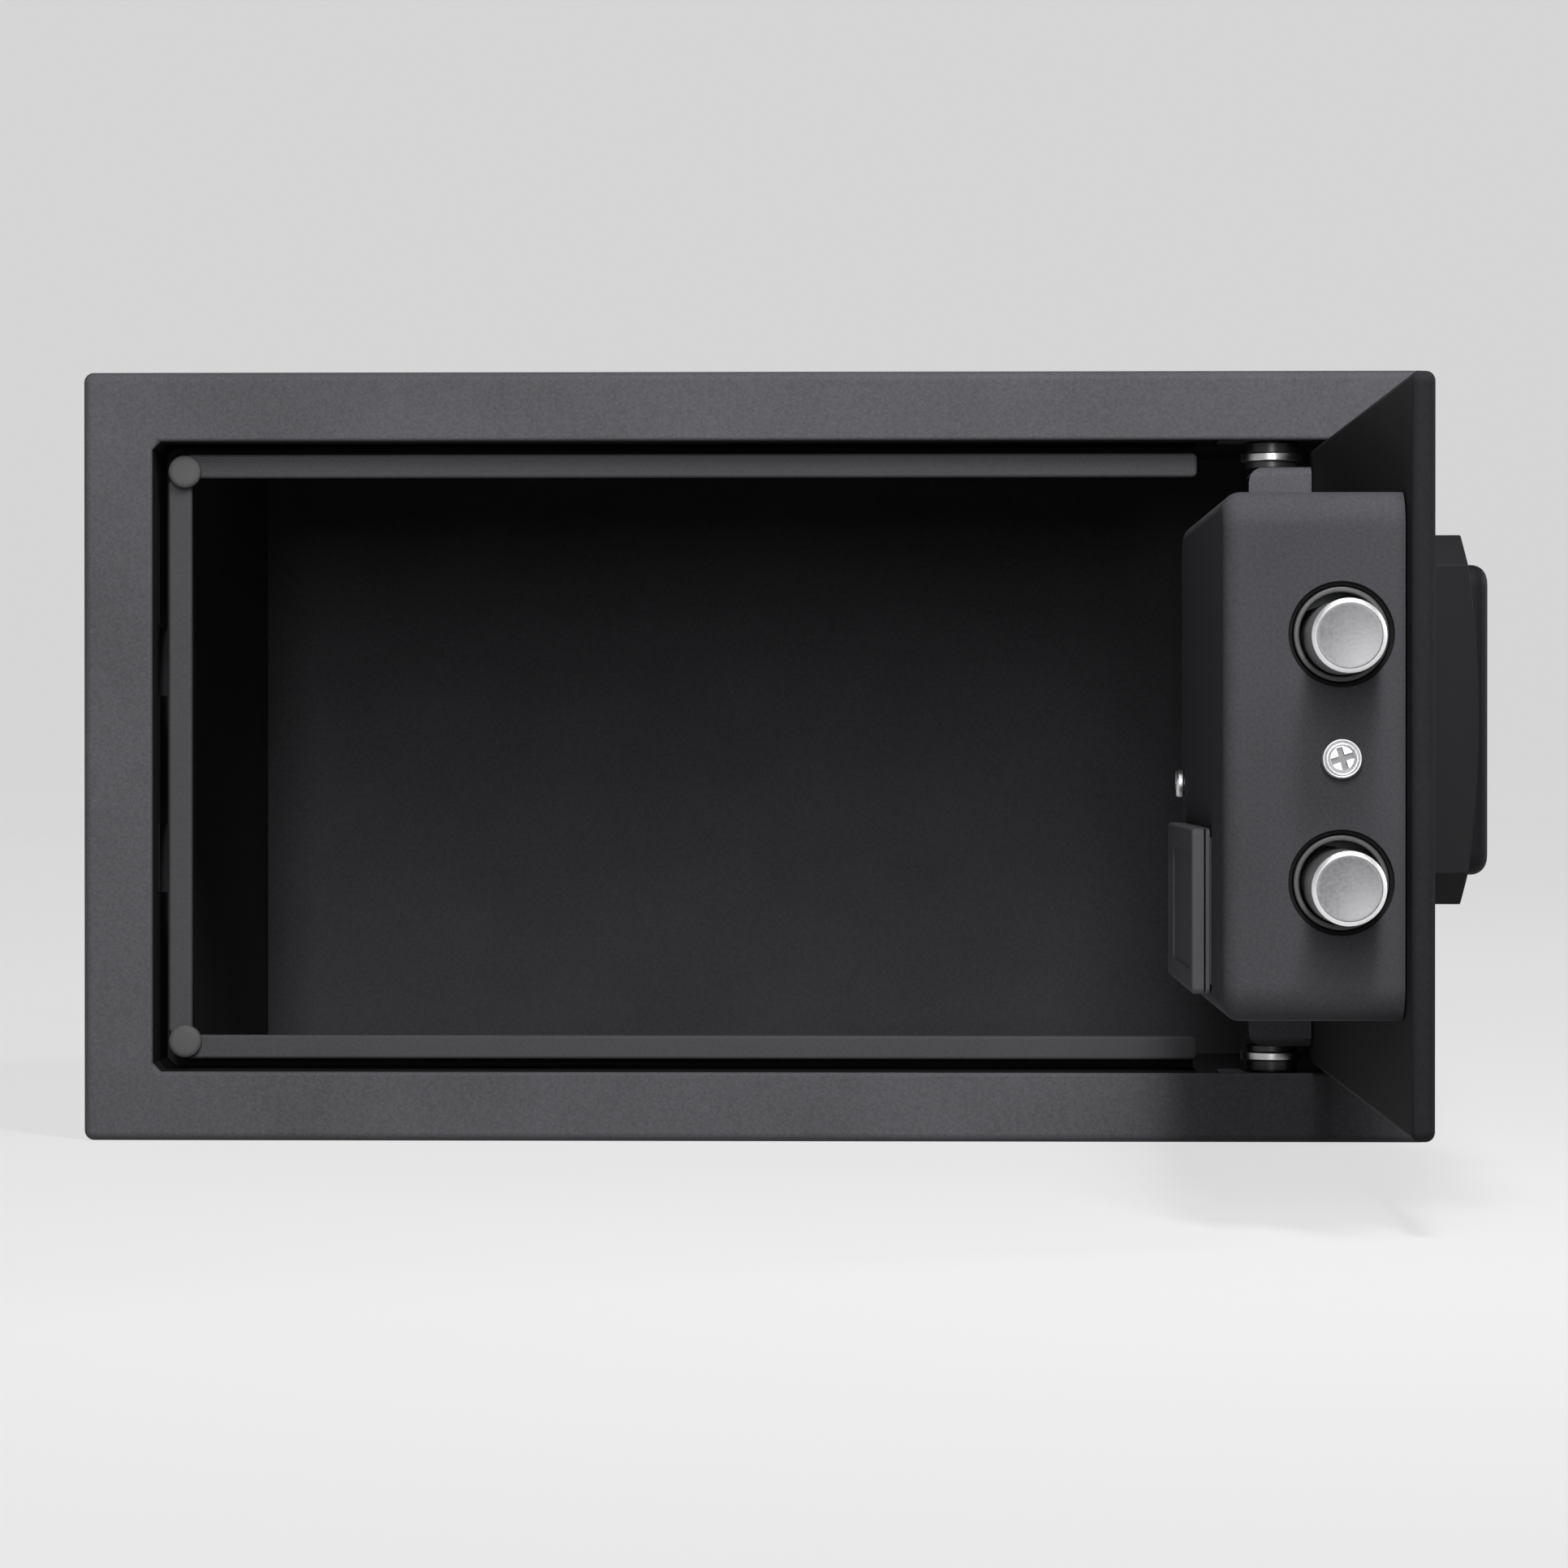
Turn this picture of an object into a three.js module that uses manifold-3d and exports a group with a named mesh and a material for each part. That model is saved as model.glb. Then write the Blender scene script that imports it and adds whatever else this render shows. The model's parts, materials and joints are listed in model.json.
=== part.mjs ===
// Steel safe with a hinged front door, an electronic lock and two round bolts.
// The door stands open by a right angle and the bolts are thrown.
// Units are millimetres. X runs to the right, Y into the safe and Z up.
// The origin is the centre of the underside of the body.

import * as THREE from 'three';
import { mergeVertices } from 'three/addons/utils/BufferGeometryUtils.js';
import Module from 'manifold-3d';

const wasm = await Module();
wasm.setup();

// Clearances and steps that all pieces share
const seatGap = 0.3; // between a piece and the one that carries it
const runGap = 0.4; // round a piece that turns or slides
const overrun = 3; // how far a cutter passes the face that it cuts
const weldDistance = 0.0001; // vertices closer than this are one
const roundSides = 28;
const smallSides = 14;
const cordSides = 8;
const cordSteps = 14;
const cornerSteps = 2;
const keySteps = 1;
const crownSteps = 10;
const bevelSteps = 2;

// Body
const bodyWidth = 350;
const bodyHeight = 200;
const bodyDepth = 380;
const bodySheet = 2;
const bodyCornerRadius = 2.6;
const bodyEdgeRounding = 2.4;
const flangeWidth = 18;
const openingCornerCut = 2.2;
const anchorHoleRadius = 5;
const anchorFromSide = 65;
const plugHeadRadius = 7;
const plugHeadHeight = 1.5;

// Stop strips and buffers that the shut door lies against
const stripWidth = 6.2;
const stripThickness = 1.5;
const stripGap = 2.9; // from the fold of the opening to the strip
const stripCornerRadius = 1.4;
const foldThickness = 1.5;
const foldUnderStrip = 4;
const bumperRadius = 4.25;
const bumperThickness = 3;
const bumperRounding = 0.8;
const bumperFromEdge = 7.5;

// Door plate
const doorSideGap = 1.5;
const doorTopGap = 2;
const doorRecess = 1;
const doorThickness = 5;
const doorCornerRadius = 2.4;
const doorEdgeRounding = 2;
const doorOpenAngle = Math.PI / 2;

// Hinges
const hingeFromDoorEdge = 20.8;
const hingeBehindDoor = 9.6;
const pinRadius = 3;
const pinHeadRadius = 4.6;
const pinHeadHeight = 2;
const pinBeyond = 2;
const bushWasherRadius = 8;
const bushWasherHeight = 2.1;
const bushBarrelRadius = 6.9;
const bushBarrelHeight = 2.8; // from the washer to the lug
const bushNeckHeight = 1.8; // from the bracket to the washer
const lugThickness = 3;
const lugHalfWidth = 14;
const lugBehindPin = 9;
const bracketSheet = 2;
const bracketDepth = 16.5;
const bracketReach = 16.7; // from the pin to the outside of the web
const bracketPastPin = 6.9;
const bracketFoldRadius = 3;
const bracketCornerRadius = 4;
const stripEndGap = 3;

// Cover over the lock, on the inner face of the door
const coverFromEdge = 11;
const coverLength = 175;
const coverHeight = 111.4;
const coverDepth = 38.4;
const coverSheet = 1.5;
const coverCornerRadius = 8;
const coverEdgeRounding = 4;
const coverBoltHoleRadius = 11.1;
const screwHeadRadius = 4.4;
const screwHeadHeight = 2.1;
const screwRadius = 1.9;
const screwLength = 8;
const crossWidth = 1.3;
const crossLength = 4.6;
const crossDepth = 1.2;
const crossAngle = 0.3;
const rearScrewFromEnd = 15;
const rearScrewBelow = 6.4;
const rearHeadRadius = 3.3;
const rearHeadHeight = 1.7;
const postRadius = 3.4;

// Bolts and their guides
const boltRadius = 7.8;
const boltChamfer = 0.9;
const boltReach = 21; // how far a thrown bolt stands out of the cover
const boltFromDoor = 13.65;
const boltSpacing = 52;
const boltLength = 70.2;
const guidesBelow = 0.4; // the guides' middle, below that of the door
const boltSag = 0.7; // how far a bolt lies below the middle of its guide
const studRadius = 3;
const guideBoreRadius = 8.8;
const guideRadius = 10;
const guideRecess = 0.5;
const guideFlangeRadius = 12.4;
const guideFlangeHeight = 2;
const guideTail = 3;
const guidePlateSheet = 2;
const guidePlateMargin = 5;
const guideFootDepth = 12;
const boltWindowGap = 1;

// Carriage that the knob slides
const carriageSheet = 2;
const carriageBarWidth = 15;
const carriageMargin = 3; // of the carriage beyond the bolts
const tongueAbove = 3.4; // edges of the tongue, from the door's middle
const tongueBelow = 10.6;
const tonguePastSlot = 4;
const camCrank = 13.5;
const camHalfSwing = THREE.MathUtils.degToRad(43);
const camThickness = 2;
const camMargin = 1.5;
const crankPinRadius = 2.5;
const slotSideGap = 0.55;
const spindleRadius = 4;
const spindleInKnob = 6;

// Solenoid that blocks the carriage
const solenoidFromKnob = 35;
const solenoidWidth = 22;
const solenoidHeight = 16;
const solenoidDepth = 18;
const solenoidAbovePlate = 7.7;
const solenoidSheet = 1.6;
const solenoidFoot = 8;
const plungerRadius = 2.5;
const plungerTipGap = 0.5;
const plungerTail = 4;

// Front moulding, keypad pod and knob
const bezelFromEdge = 45;
const bezelLength = 135;
const bezelHeight = 80;
const bezelAbove = 8; // the moulding's middle, above that of the door
const bezelEndThickness = 10;
const bezelCrown = 3.2;
const bezelRounding = 3;
const bezelEndRounding = 1.2;
const bezelCornerCut = 6.8;
const bezelWall = 2.5;
const podFromBezelEnd = 7;
const podWidth = 60;
const podHeight = 67.4;
const podProud = 16.5;
const podCornerRadius = 5;
const podRounding = 3.4;
const podWall = 2.2;
const boardThickness = 1.6;
const keyColumns = 3;
const keyRows = 4;
const keyWidth = 11.4;
const keyHeight = 8.6;
const keyPitchX = 15.5;
const keyPitchZ = 12.2;
const keyCornerRadius = 2;
const keyProud = 0.4;
const keyTravel = 1;
const keyFlange = 0.9;
const keyFlangeThickness = 1.2;
const keysBelow = 4.2;
const lensRadius = 1.6;
const lensProud = 0.4;
const lensSpacing = 14;
const lensFromEdge = 6.2;
const knobRadius = 19;
const knobDiscHeight = 4;
const knobHeight = 10.8;
const knobRounding = 1;
const knobGripWidth = 11;
const knobGripLength = 35;
const knobFromBezelEnd = 29.5;
const knobAboveBezel = 0.5;

// Emergency lock under its cap
const overrideFromKnob = 27;
const overrideBelow = 20;
const barrelRadius = 8;
const barrelInside = 12;
const barrelFromDoor = 8.8;
const cylinderRadius = 5;
const keywayWidth = 1.4;
const keywayHeight = 7;
const keywayDepth = 6;
const leverLength = 13;
const leverWidth = 6;
const leverThickness = 2;
const capRadius = 10;
const capHeight = 3.3;
const capRounding = 0.6;

// Batteries
const cellRadius = 7.1;
const cellLength = 50.5;
const cellTipRadius = 2.6;
const cellTipHeight = 1;
const cellGap = 0.4;
const contactSpace = 2.4;
const trayWall = 1.2;
const trayFromEnd = 24; // from the lid to the cover's end at the hinge
const trayBelow = 15.6; // from the door's middle down to the lid
const lidOverhangX = 1.1;
const lidOverhangZ = 2;
const trayFlange = 1;
const lidThickness = 2.7;
const lidCornerRadius = 1.6;
const lidRounding = 0.6;
const cellBelowLid = 1;
const grooveWidth = 1.2;
const grooveDepth = 0.6;
const gripGrooves = 4;

// Leads
const leadRadius = 1.2;
const leadHoleRadius = 4;
const leadHoleFromKnob = 47;
const leadHoleAbove = 16;

// Places worked out from the sizes above, with Z counted from the door's middle
const frontY = -bodyDepth / 2;
const backY = bodyDepth / 2;
const wallBackY = backY - bodySheet - seatGap;
const flangeBackY = frontY + bodySheet;
const openingHalfWidth = bodyWidth / 2 - flangeWidth;
const openingHalfHeight = bodyHeight / 2 - flangeWidth;
const cavityHalfWidth = bodyWidth / 2 - bodySheet;
const cavityHalfHeight = bodyHeight / 2 - bodySheet;
const doorHalfWidth = openingHalfWidth - doorSideGap;
const doorHalfHeight = openingHalfHeight - doorTopGap;
const doorFrontY = frontY + doorRecess;
const doorBackY = doorFrontY + doorThickness;
const stripFrontY = doorBackY + seatGap + bumperThickness + seatGap;
const stripBackY = stripFrontY + stripThickness;
const foldFrontY = stripBackY + seatGap;
const foldInnerX = -openingHalfWidth + stripGap + foldUnderStrip;
const foldInnerZ = openingHalfHeight - stripGap - foldUnderStrip;
const bumperX = -openingHalfWidth + bumperFromEdge;
const bumperZ = openingHalfHeight - bumperFromEdge;
const hingeX = doorHalfWidth - hingeFromDoorEdge;
const hingeY = doorBackY + hingeBehindDoor;
const webX = hingeX - bracketReach;
const stripEndX = webX - stripEndGap;
const lugUnderZ = openingHalfHeight + seatGap;
const bushTopZ = lugUnderZ - seatGap;
const bushFootZ = bushTopZ - bushBarrelHeight - bushWasherHeight - bushNeckHeight;
const bracketHalfHeight = bushFootZ - seatGap;
const onDoorY = doorBackY + seatGap;
const coverX0 = -doorHalfWidth + coverFromEdge;
const coverX1 = coverX0 + coverLength;
const coverHalfHeight = coverHeight / 2;
const coverFaceY = doorBackY + coverDepth;
const coverUnderY = coverFaceY - coverSheet;
const boltY = doorBackY + boltFromDoor;
const lipBackY = boltY + boltRadius + boltWindowGap + seatGap + foldThickness;
const guideZs = [boltSpacing / 2 - guidesBelow, -boltSpacing / 2 - guidesBelow];
const boltTipX = coverX0 - boltReach;
const boltEndX = boltTipX + boltLength;
const earX0 = boltEndX + seatGap;
const earX1 = earX0 + carriageSheet;
const barX1 = earX1 + carriageBarWidth;
const guidePlateX0 = coverX0 + coverSheet + seatGap;
const guidePlateX1 = guidePlateX0 + guidePlateSheet;
const carriageTopY = onDoorY + carriageSheet;
const bezelX0 = -doorHalfWidth + bezelFromEdge;
const bezelX1 = bezelX0 + bezelLength;
const bezelHalfHeight = bezelHeight / 2;
const onFrontY = doorFrontY - seatGap;
const knobX = bezelX1 - knobFromBezelEnd;
const knobZ = bezelAbove;
const knobBaseY = onFrontY - bezelEndThickness - bezelCrown - knobAboveBezel;
const knobFaceY = knobBaseY - knobHeight;
const boltTravel = 2 * camCrank * Math.sin(camHalfSwing);
const crankPinX = knobX - camCrank * Math.sin(camHalfSwing);
const crankPinZ = knobZ - camCrank * Math.cos(camHalfSwing);
const solenoidX = knobX - solenoidFromKnob;
const solenoidZ = (tongueAbove - tongueBelow) / 2;
const solenoidY0 = carriageTopY + solenoidAbovePlate;
const solenoidY1 = solenoidY0 + solenoidDepth;
const podX0 = bezelX0 + podFromBezelEnd;
const podX1 = podX0 + podWidth;
const podZ0 = bezelAbove - podHeight / 2;
const podZ1 = bezelAbove + podHeight / 2;
const podFaceY = doorFrontY - podProud;
const keyFlangeY1 = podFaceY + podWall + seatGap + keyFlangeThickness;
const boardY0 = keyFlangeY1 + keyTravel + 2 * seatGap;
const overrideX = knobX - overrideFromKnob;
const overrideZ = -overrideBelow;
const barrelFaceY = doorFrontY - barrelFromDoor;
const trayLength = 2 * cellLength + contactSpace + 2 * trayWall;
const trayHeight = 4 * cellRadius + 3 * cellGap + 2 * trayWall;
const lidX1 = coverX1 - trayFromEnd;
const lidX0 = lidX1 - trayLength - 2 * lidOverhangX;
const lidZ1 = -trayBelow;
const lidZ0 = lidZ1 - trayHeight - 2 * lidOverhangZ;
const trayFlangeY = coverFaceY + seatGap;
const lidUnderY = trayFlangeY + trayFlange + seatGap;
const lidTopY = lidUnderY + lidThickness;
const cellY = lidUnderY - cellBelowLid - cellRadius;
const trayFloorY = cellY - cellRadius - seatGap;
const leadHoleX = knobX - leadHoleFromKnob;
const leadHoleZ = leadHoleAbove;

// Materials
const paint = { color: 0x434346, roughness: 0.62, metalness: 0.25 };
const materials = {
  bodyPaint: new THREE.MeshStandardMaterial(paint),
  doorPaint: new THREE.MeshStandardMaterial(paint),
  lidPlastic: new THREE.MeshStandardMaterial({ color: 0x4b4b4f, roughness: 0.5, metalness: 0 }),
  stripPaint: new THREE.MeshStandardMaterial({ color: 0x4c4c4e, roughness: 0.6, metalness: 0.2 }),
  rubber: new THREE.MeshStandardMaterial({ color: 0x57575a, roughness: 0.85, metalness: 0 }),
  chrome: new THREE.MeshStandardMaterial({ color: 0xd6d6d8, roughness: 0.18, metalness: 1 }),
  zinc: new THREE.MeshStandardMaterial({ color: 0xa8abae, roughness: 0.42, metalness: 0.9 }),
  blackPlastic: new THREE.MeshStandardMaterial({ color: 0x1c1c1e, roughness: 0.45, metalness: 0 }),
  glossPlastic: new THREE.MeshStandardMaterial({ color: 0x141416, roughness: 0.2, metalness: 0 }),
  keyPlastic: new THREE.MeshStandardMaterial({ color: 0x2c2c2f, roughness: 0.5, metalness: 0 }),
  lens: new THREE.MeshStandardMaterial({ color: 0x3c7a52, roughness: 0.15, metalness: 0 }),
  board: new THREE.MeshStandardMaterial({ color: 0x1f5a38, roughness: 0.5, metalness: 0 }),
  cellWrap: new THREE.MeshStandardMaterial({ color: 0x26282c, roughness: 0.35, metalness: 0.1 }),
  brass: new THREE.MeshStandardMaterial({ color: 0xb99a54, roughness: 0.35, metalness: 1 }),
  lead: new THREE.MeshStandardMaterial({ color: 0x181818, roughness: 0.6, metalness: 0 }),
};

// Turns a closed geometry into a solid, with its faces pointing out
function signedVolume(positions, index) {
  const corners = [new THREE.Vector3(), new THREE.Vector3(), new THREE.Vector3()];
  let total = 0;
  for (let i = 0; i < index.length; i += 3) {
    corners.forEach((corner, k) => corner.fromArray(positions, 3 * index[i + k]));
    total += corners[0].dot(corners[1].clone().cross(corners[2]));
  }
  return total;
}

function solidFrom(geometry) {
  const bare = new THREE.BufferGeometry();
  bare.setAttribute('position', geometry.attributes.position);
  bare.setIndex(geometry.index);
  const welded = mergeVertices(bare, weldDistance);
  const positions = welded.attributes.position.array;
  const found = welded.index.array;
  const index = [];
  for (let i = 0; i < found.length; i += 3) {
    const [a, b, c] = found.slice(i, i + 3);
    if (a !== b && b !== c && c !== a) {
      index.push(a, b, c);
    }
  }
  if (signedVolume(positions, index) < 0) {
    index.reverse();
  }
  const mesh = new wasm.Mesh({
    numProp: 3,
    vertProperties: positions,
    triVerts: Uint32Array.from(index),
  });
  return new wasm.Manifold(mesh);
}

function geometryFrom(solid) {
  const mesh = solid.getMesh();
  const geometry = new THREE.BufferGeometry();
  geometry.setAttribute('position', new THREE.BufferAttribute(mesh.vertProperties, 3));
  geometry.setIndex(new THREE.BufferAttribute(mesh.triVerts, 1));
  geometry.computeVertexNormals();
  return geometry;
}

// Basic solids, each given by where it starts and ends
function span(a, b) {
  return [Math.min(a, b), Math.max(a, b)];
}

function block([x0, x1], [y0, y1], [z0, z1]) {
  const geometry = new THREE.BoxGeometry(x1 - x0, y1 - y0, z1 - z0);
  geometry.translate((x0 + x1) / 2, (y0 + y1) / 2, (z0 + z1) / 2);
  return solidFrom(geometry);
}

const latheTurns = {
  x: new THREE.Matrix4().makeRotationZ(-Math.PI / 2),
  y: new THREE.Matrix4(),
  z: new THREE.Matrix4().makeRotationX(Math.PI / 2),
};

function alongAxis(axis, geometry, centre) {
  geometry.applyMatrix4(latheTurns[axis]);
  geometry.translate(centre.x ?? 0, centre.y ?? 0, centre.z ?? 0);
  return solidFrom(geometry);
}

function rod(axis, [from, to], centre, radius, sides = roundSides) {
  const geometry = new THREE.CylinderGeometry(radius, radius, to - from, sides);
  geometry.translate(0, (from + to) / 2, 0);
  return alongAxis(axis, geometry, centre);
}

// The profile is a list of pairs, radius and place along the axis
function turned(axis, profile, centre, sides = roundSides) {
  const points = profile.map(([radius, along]) => new THREE.Vector2(radius, along));
  return alongAxis(axis, new THREE.LatheGeometry(points, sides), centre);
}

const slabTurns = {
  x: new THREE.Matrix4().set(0, 0, 1, 0, 1, 0, 0, 0, 0, 1, 0, 0, 0, 0, 0, 1),
  y: new THREE.Matrix4().set(1, 0, 0, 0, 0, 0, -1, 0, 0, 1, 0, 0, 0, 0, 0, 1),
  z: new THREE.Matrix4(),
};

// An outline drawn in YZ, XZ or XY is drawn out along the third axis, its end edges rounded
function slab(axis, outline, [from, to], rounding = 0, steps = cornerSteps) {
  const geometry = new THREE.ExtrudeGeometry(outline, {
    depth: to - from - 2 * rounding,
    bevelEnabled: rounding > 0,
    bevelThickness: rounding,
    bevelSize: rounding,
    bevelOffset: -rounding,
    bevelSegments: bevelSteps,
    curveSegments: steps,
  });
  geometry.translate(0, 0, rounding);
  geometry.applyMatrix4(slabTurns[axis]);
  const shift = { x: 0, y: 0, z: 0 };
  shift[axis] = axis === 'y' ? to : from;
  geometry.translate(shift.x, shift.y, shift.z);
  return solidFrom(geometry);
}

// A slab with only its end at the front rounded, or only its end at the back
function slabRoundedInFront(outline, [from, to], rounding, steps = cornerSteps) {
  const whole = slab('y', outline, [from, to + rounding], rounding, steps);
  return whole.trimByPlane([0, -1, 0], -to);
}

function slabRoundedBehind(outline, [from, to], rounding) {
  const whole = slab('y', outline, [from - rounding, to], rounding);
  return whole.trimByPlane([0, 1, 0], from);
}

// Outlines
function roundedRectangle([x0, x1], [z0, z1], radius) {
  const shape = new THREE.Shape();
  const quarter = Math.PI / 2;
  shape.moveTo(x0 + radius, z0);
  shape.lineTo(x1 - radius, z0);
  shape.absarc(x1 - radius, z0 + radius, radius, -quarter, 0, false);
  shape.lineTo(x1, z1 - radius);
  shape.absarc(x1 - radius, z1 - radius, radius, 0, quarter, false);
  shape.lineTo(x0 + radius, z1);
  shape.absarc(x0 + radius, z1 - radius, radius, quarter, 2 * quarter, false);
  shape.lineTo(x0, z0 + radius);
  shape.absarc(x0 + radius, z0 + radius, radius, 2 * quarter, 3 * quarter, false);
  return shape;
}

function cutCornerRectangle(halfWidth, halfHeight, cut) {
  const shape = new THREE.Shape();
  shape.moveTo(-halfWidth + cut, -halfHeight);
  shape.lineTo(halfWidth - cut, -halfHeight);
  shape.lineTo(halfWidth, -halfHeight + cut);
  shape.lineTo(halfWidth, halfHeight - cut);
  shape.lineTo(halfWidth - cut, halfHeight);
  shape.lineTo(-halfWidth + cut, halfHeight);
  shape.lineTo(-halfWidth, halfHeight - cut);
  shape.lineTo(-halfWidth, -halfHeight + cut);
  shape.closePath();
  return shape;
}

// Body pieces

// Sheet on three sides of the doorway, open towards the hinges
function threeSidedSheet(sheet, depth) {
  const height = [-foldInnerZ - sheet, foldInnerZ + sheet];
  return block([foldInnerX - sheet, stripEndX], depth, height)
    .subtract(block([foldInnerX, stripEndX + overrun], depth, [-foldInnerZ, foldInnerZ]));
}

// Fold that closes the groove behind the strips and comes forward again to carry them
function stripFold() {
  const closing = [lipBackY - foldThickness, lipBackY];
  return threeSidedSheet(stripGap + foldUnderStrip + bodySheet, closing)
    .add(threeSidedSheet(foldThickness, [foldFrontY, lipBackY]));
}

function boltWindows() {
  const reach = boltRadius + boltWindowGap;
  const across = [-openingHalfWidth - 2 * bodySheet, foldInnerX + overrun];
  const windows = guideZs.map((z) => {
    const height = [z - boltSag - reach, z + reach];
    return block(across, [boltY - reach, boltY + reach], height);
  });
  return wasm.Manifold.union(windows);
}

function bodyOutline() {
  return roundedRectangle(
    [-bodyWidth / 2, bodyWidth / 2],
    [-bodyHeight / 2, bodyHeight / 2],
    bodyCornerRadius,
  );
}

function bodyShell() {
  const cavity = block(
    [-cavityHalfWidth, cavityHalfWidth],
    [flangeBackY, backY + overrun],
    [-cavityHalfHeight, cavityHalfHeight],
  );
  const lips = block(
    [-openingHalfWidth - bodySheet, stripEndX],
    [frontY, lipBackY],
    [-openingHalfHeight - bodySheet, openingHalfHeight + bodySheet],
  );
  const doorway = cutCornerRectangle(openingHalfWidth, openingHalfHeight, openingCornerCut);
  const holes = [-1, 1].map((side) => {
    const centre = { x: side * (bodyWidth / 2 - anchorFromSide) };
    const through = [-bodyHeight / 2 - overrun, -cavityHalfHeight + overrun];
    return rod('z', through, centre, anchorHoleRadius, smallSides);
  });
  return slabRoundedInFront(bodyOutline(), [frontY, wallBackY], bodyEdgeRounding)
    .subtract(cavity.subtract(lips))
    .subtract(slab('y', doorway, [frontY - overrun, lipBackY + overrun]))
    .add(stripFold())
    .subtract(boltWindows())
    .subtract(wasm.Manifold.union(holes));
}

function backPanel() {
  return slab('y', bodyOutline(), [backY - bodySheet, backY]);
}

function anchorPlug(side) {
  const floor = -cavityHalfHeight;
  const stem = anchorHoleRadius - seatGap;
  const profile = [
    [0, floor - bodySheet + seatGap],
    [stem, floor - bodySheet + seatGap],
    [stem, floor + seatGap],
    [plugHeadRadius, floor + seatGap],
    [plugHeadRadius, floor + seatGap + plugHeadHeight / 2],
    [stem, floor + seatGap + plugHeadHeight],
    [0, floor + seatGap + plugHeadHeight],
  ];
  return turned('z', profile, { x: side * (bodyWidth / 2 - anchorFromSide) }, smallSides);
}

function stopStripLeft() {
  const outer = -openingHalfWidth + stripGap;
  const z = openingHalfHeight - stripGap - stripWidth - seatGap;
  const outline = roundedRectangle([outer, outer + stripWidth], [-z, z], stripCornerRadius);
  return slab('y', outline, [stripFrontY, stripBackY]);
}

function stopStripLong(sign) {
  const outer = openingHalfHeight - stripGap;
  const height = span(sign * outer, sign * (outer - stripWidth));
  const outline = roundedRectangle([bumperX, stripEndX], height, stripCornerRadius);
  return slab('y', outline, [stripFrontY, stripBackY]);
}

function cornerBumper(sign) {
  const faceY = stripFrontY - seatGap - bumperThickness;
  const footY = stripFrontY - seatGap;
  const profile = [
    [0, faceY],
    [bumperRadius - bumperRounding, faceY],
    [bumperRadius, faceY + bumperRounding],
    [bumperRadius, footY],
    [0, footY],
  ];
  return turned('y', profile, { x: bumperX, z: sign * bumperZ });
}

function hingeLug(sign) {
  const across = [hingeX - lugHalfWidth, hingeX + lugHalfWidth];
  const nearY = flangeBackY + seatGap;
  const plateZ = span(sign * lugUnderZ, sign * (lugUnderZ + lugThickness));
  const plate = block(across, [nearY, hingeY + lugBehindPin], plateZ);
  const legZ = span(sign * lugUnderZ, sign * (cavityHalfHeight - seatGap));
  const leg = block(across, [nearY, nearY + lugThickness], legZ);
  const reach = span(sign * (lugUnderZ - overrun), sign * (lugUnderZ + lugThickness + overrun));
  const hole = rod('z', reach, { x: hingeX, y: hingeY }, pinRadius + seatGap, smallSides);
  return plate.add(leg).subtract(hole);
}

function hingePin(sign) {
  const foot = bracketHalfHeight - bracketSheet - pinBeyond;
  const collar = lugUnderZ + lugThickness + seatGap;
  const profile = [
    [0, sign * foot],
    [pinRadius, sign * foot],
    [pinRadius, sign * collar],
    [pinHeadRadius, sign * collar],
    [pinHeadRadius, sign * (collar + pinHeadHeight)],
    [0, sign * (collar + pinHeadHeight)],
  ];
  return turned('z', profile, { x: hingeX, y: hingeY }, smallSides);
}

function hingeBush(sign) {
  const bore = pinRadius + seatGap;
  const washerZ = bushFootZ + bushNeckHeight;
  const shoulder = washerZ + bushWasherHeight;
  const profile = [
    [bore, sign * bushFootZ],
    [bushBarrelRadius, sign * bushFootZ],
    [bushBarrelRadius, sign * washerZ],
    [bushWasherRadius, sign * washerZ],
    [bushWasherRadius, sign * shoulder],
    [bushBarrelRadius, sign * shoulder],
    [bushBarrelRadius, sign * bushTopZ],
    [bore, sign * bushTopZ],
    [bore, sign * bushFootZ],
  ];
  return turned('z', profile, { x: hingeX, y: hingeY });
}

// Door pieces, drawn with the door shut
function doorPanel() {
  const outline = roundedRectangle(
    [-doorHalfWidth, doorHalfWidth],
    [-doorHalfHeight, doorHalfHeight],
    doorCornerRadius,
  );
  const through = [doorFrontY - overrun, doorBackY + overrun];
  const spindleHole = rod('y', through, { x: knobX, z: knobZ }, spindleRadius + runGap, smallSides);
  const lockHole = rod('y', through, { x: overrideX, z: overrideZ }, barrelRadius + seatGap);
  const leadHole = rod('y', through, { x: leadHoleX, z: leadHoleZ }, leadHoleRadius, smallSides);
  return slabRoundedInFront(outline, [doorFrontY, doorBackY], doorEdgeRounding)
    .subtract(spindleHole)
    .subtract(lockHole)
    .subtract(leadHole);
}

function hingeBracket() {
  const x1 = hingeX + bracketPastPin;
  const z = bracketHalfHeight;
  const innerRadius = bracketFoldRadius - bracketSheet;
  const outer = roundedRectangle([webX, x1 + overrun], [-z, z], bracketFoldRadius);
  const inner = roundedRectangle(
    [webX + bracketSheet, x1 + 2 * overrun],
    [-z + bracketSheet, z - bracketSheet],
    innerRadius,
  );
  const depth = [onDoorY, doorBackY + bracketDepth];
  const channel = slab('y', outer, depth)
    .subtract(slab('y', inner, [onDoorY - overrun, depth[1] + overrun]))
    .trimByPlane([-1, 0, 0], -x1);
  const foot = block([webX, x1], [onDoorY, onDoorY + bracketSheet], [-z + bracketSheet, z - bracketSheet]);
  const side = roundedRectangle(
    [onDoorY - bracketCornerRadius, depth[1]],
    [-z, z],
    bracketCornerRadius,
  );
  const through = [-z - overrun, z + overrun];
  const holes = rod('z', through, { x: hingeX, y: hingeY }, pinRadius + seatGap, smallSides);
  return channel.add(foot).intersect(slab('x', side, [webX - overrun, x1 + overrun])).subtract(holes);
}

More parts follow.
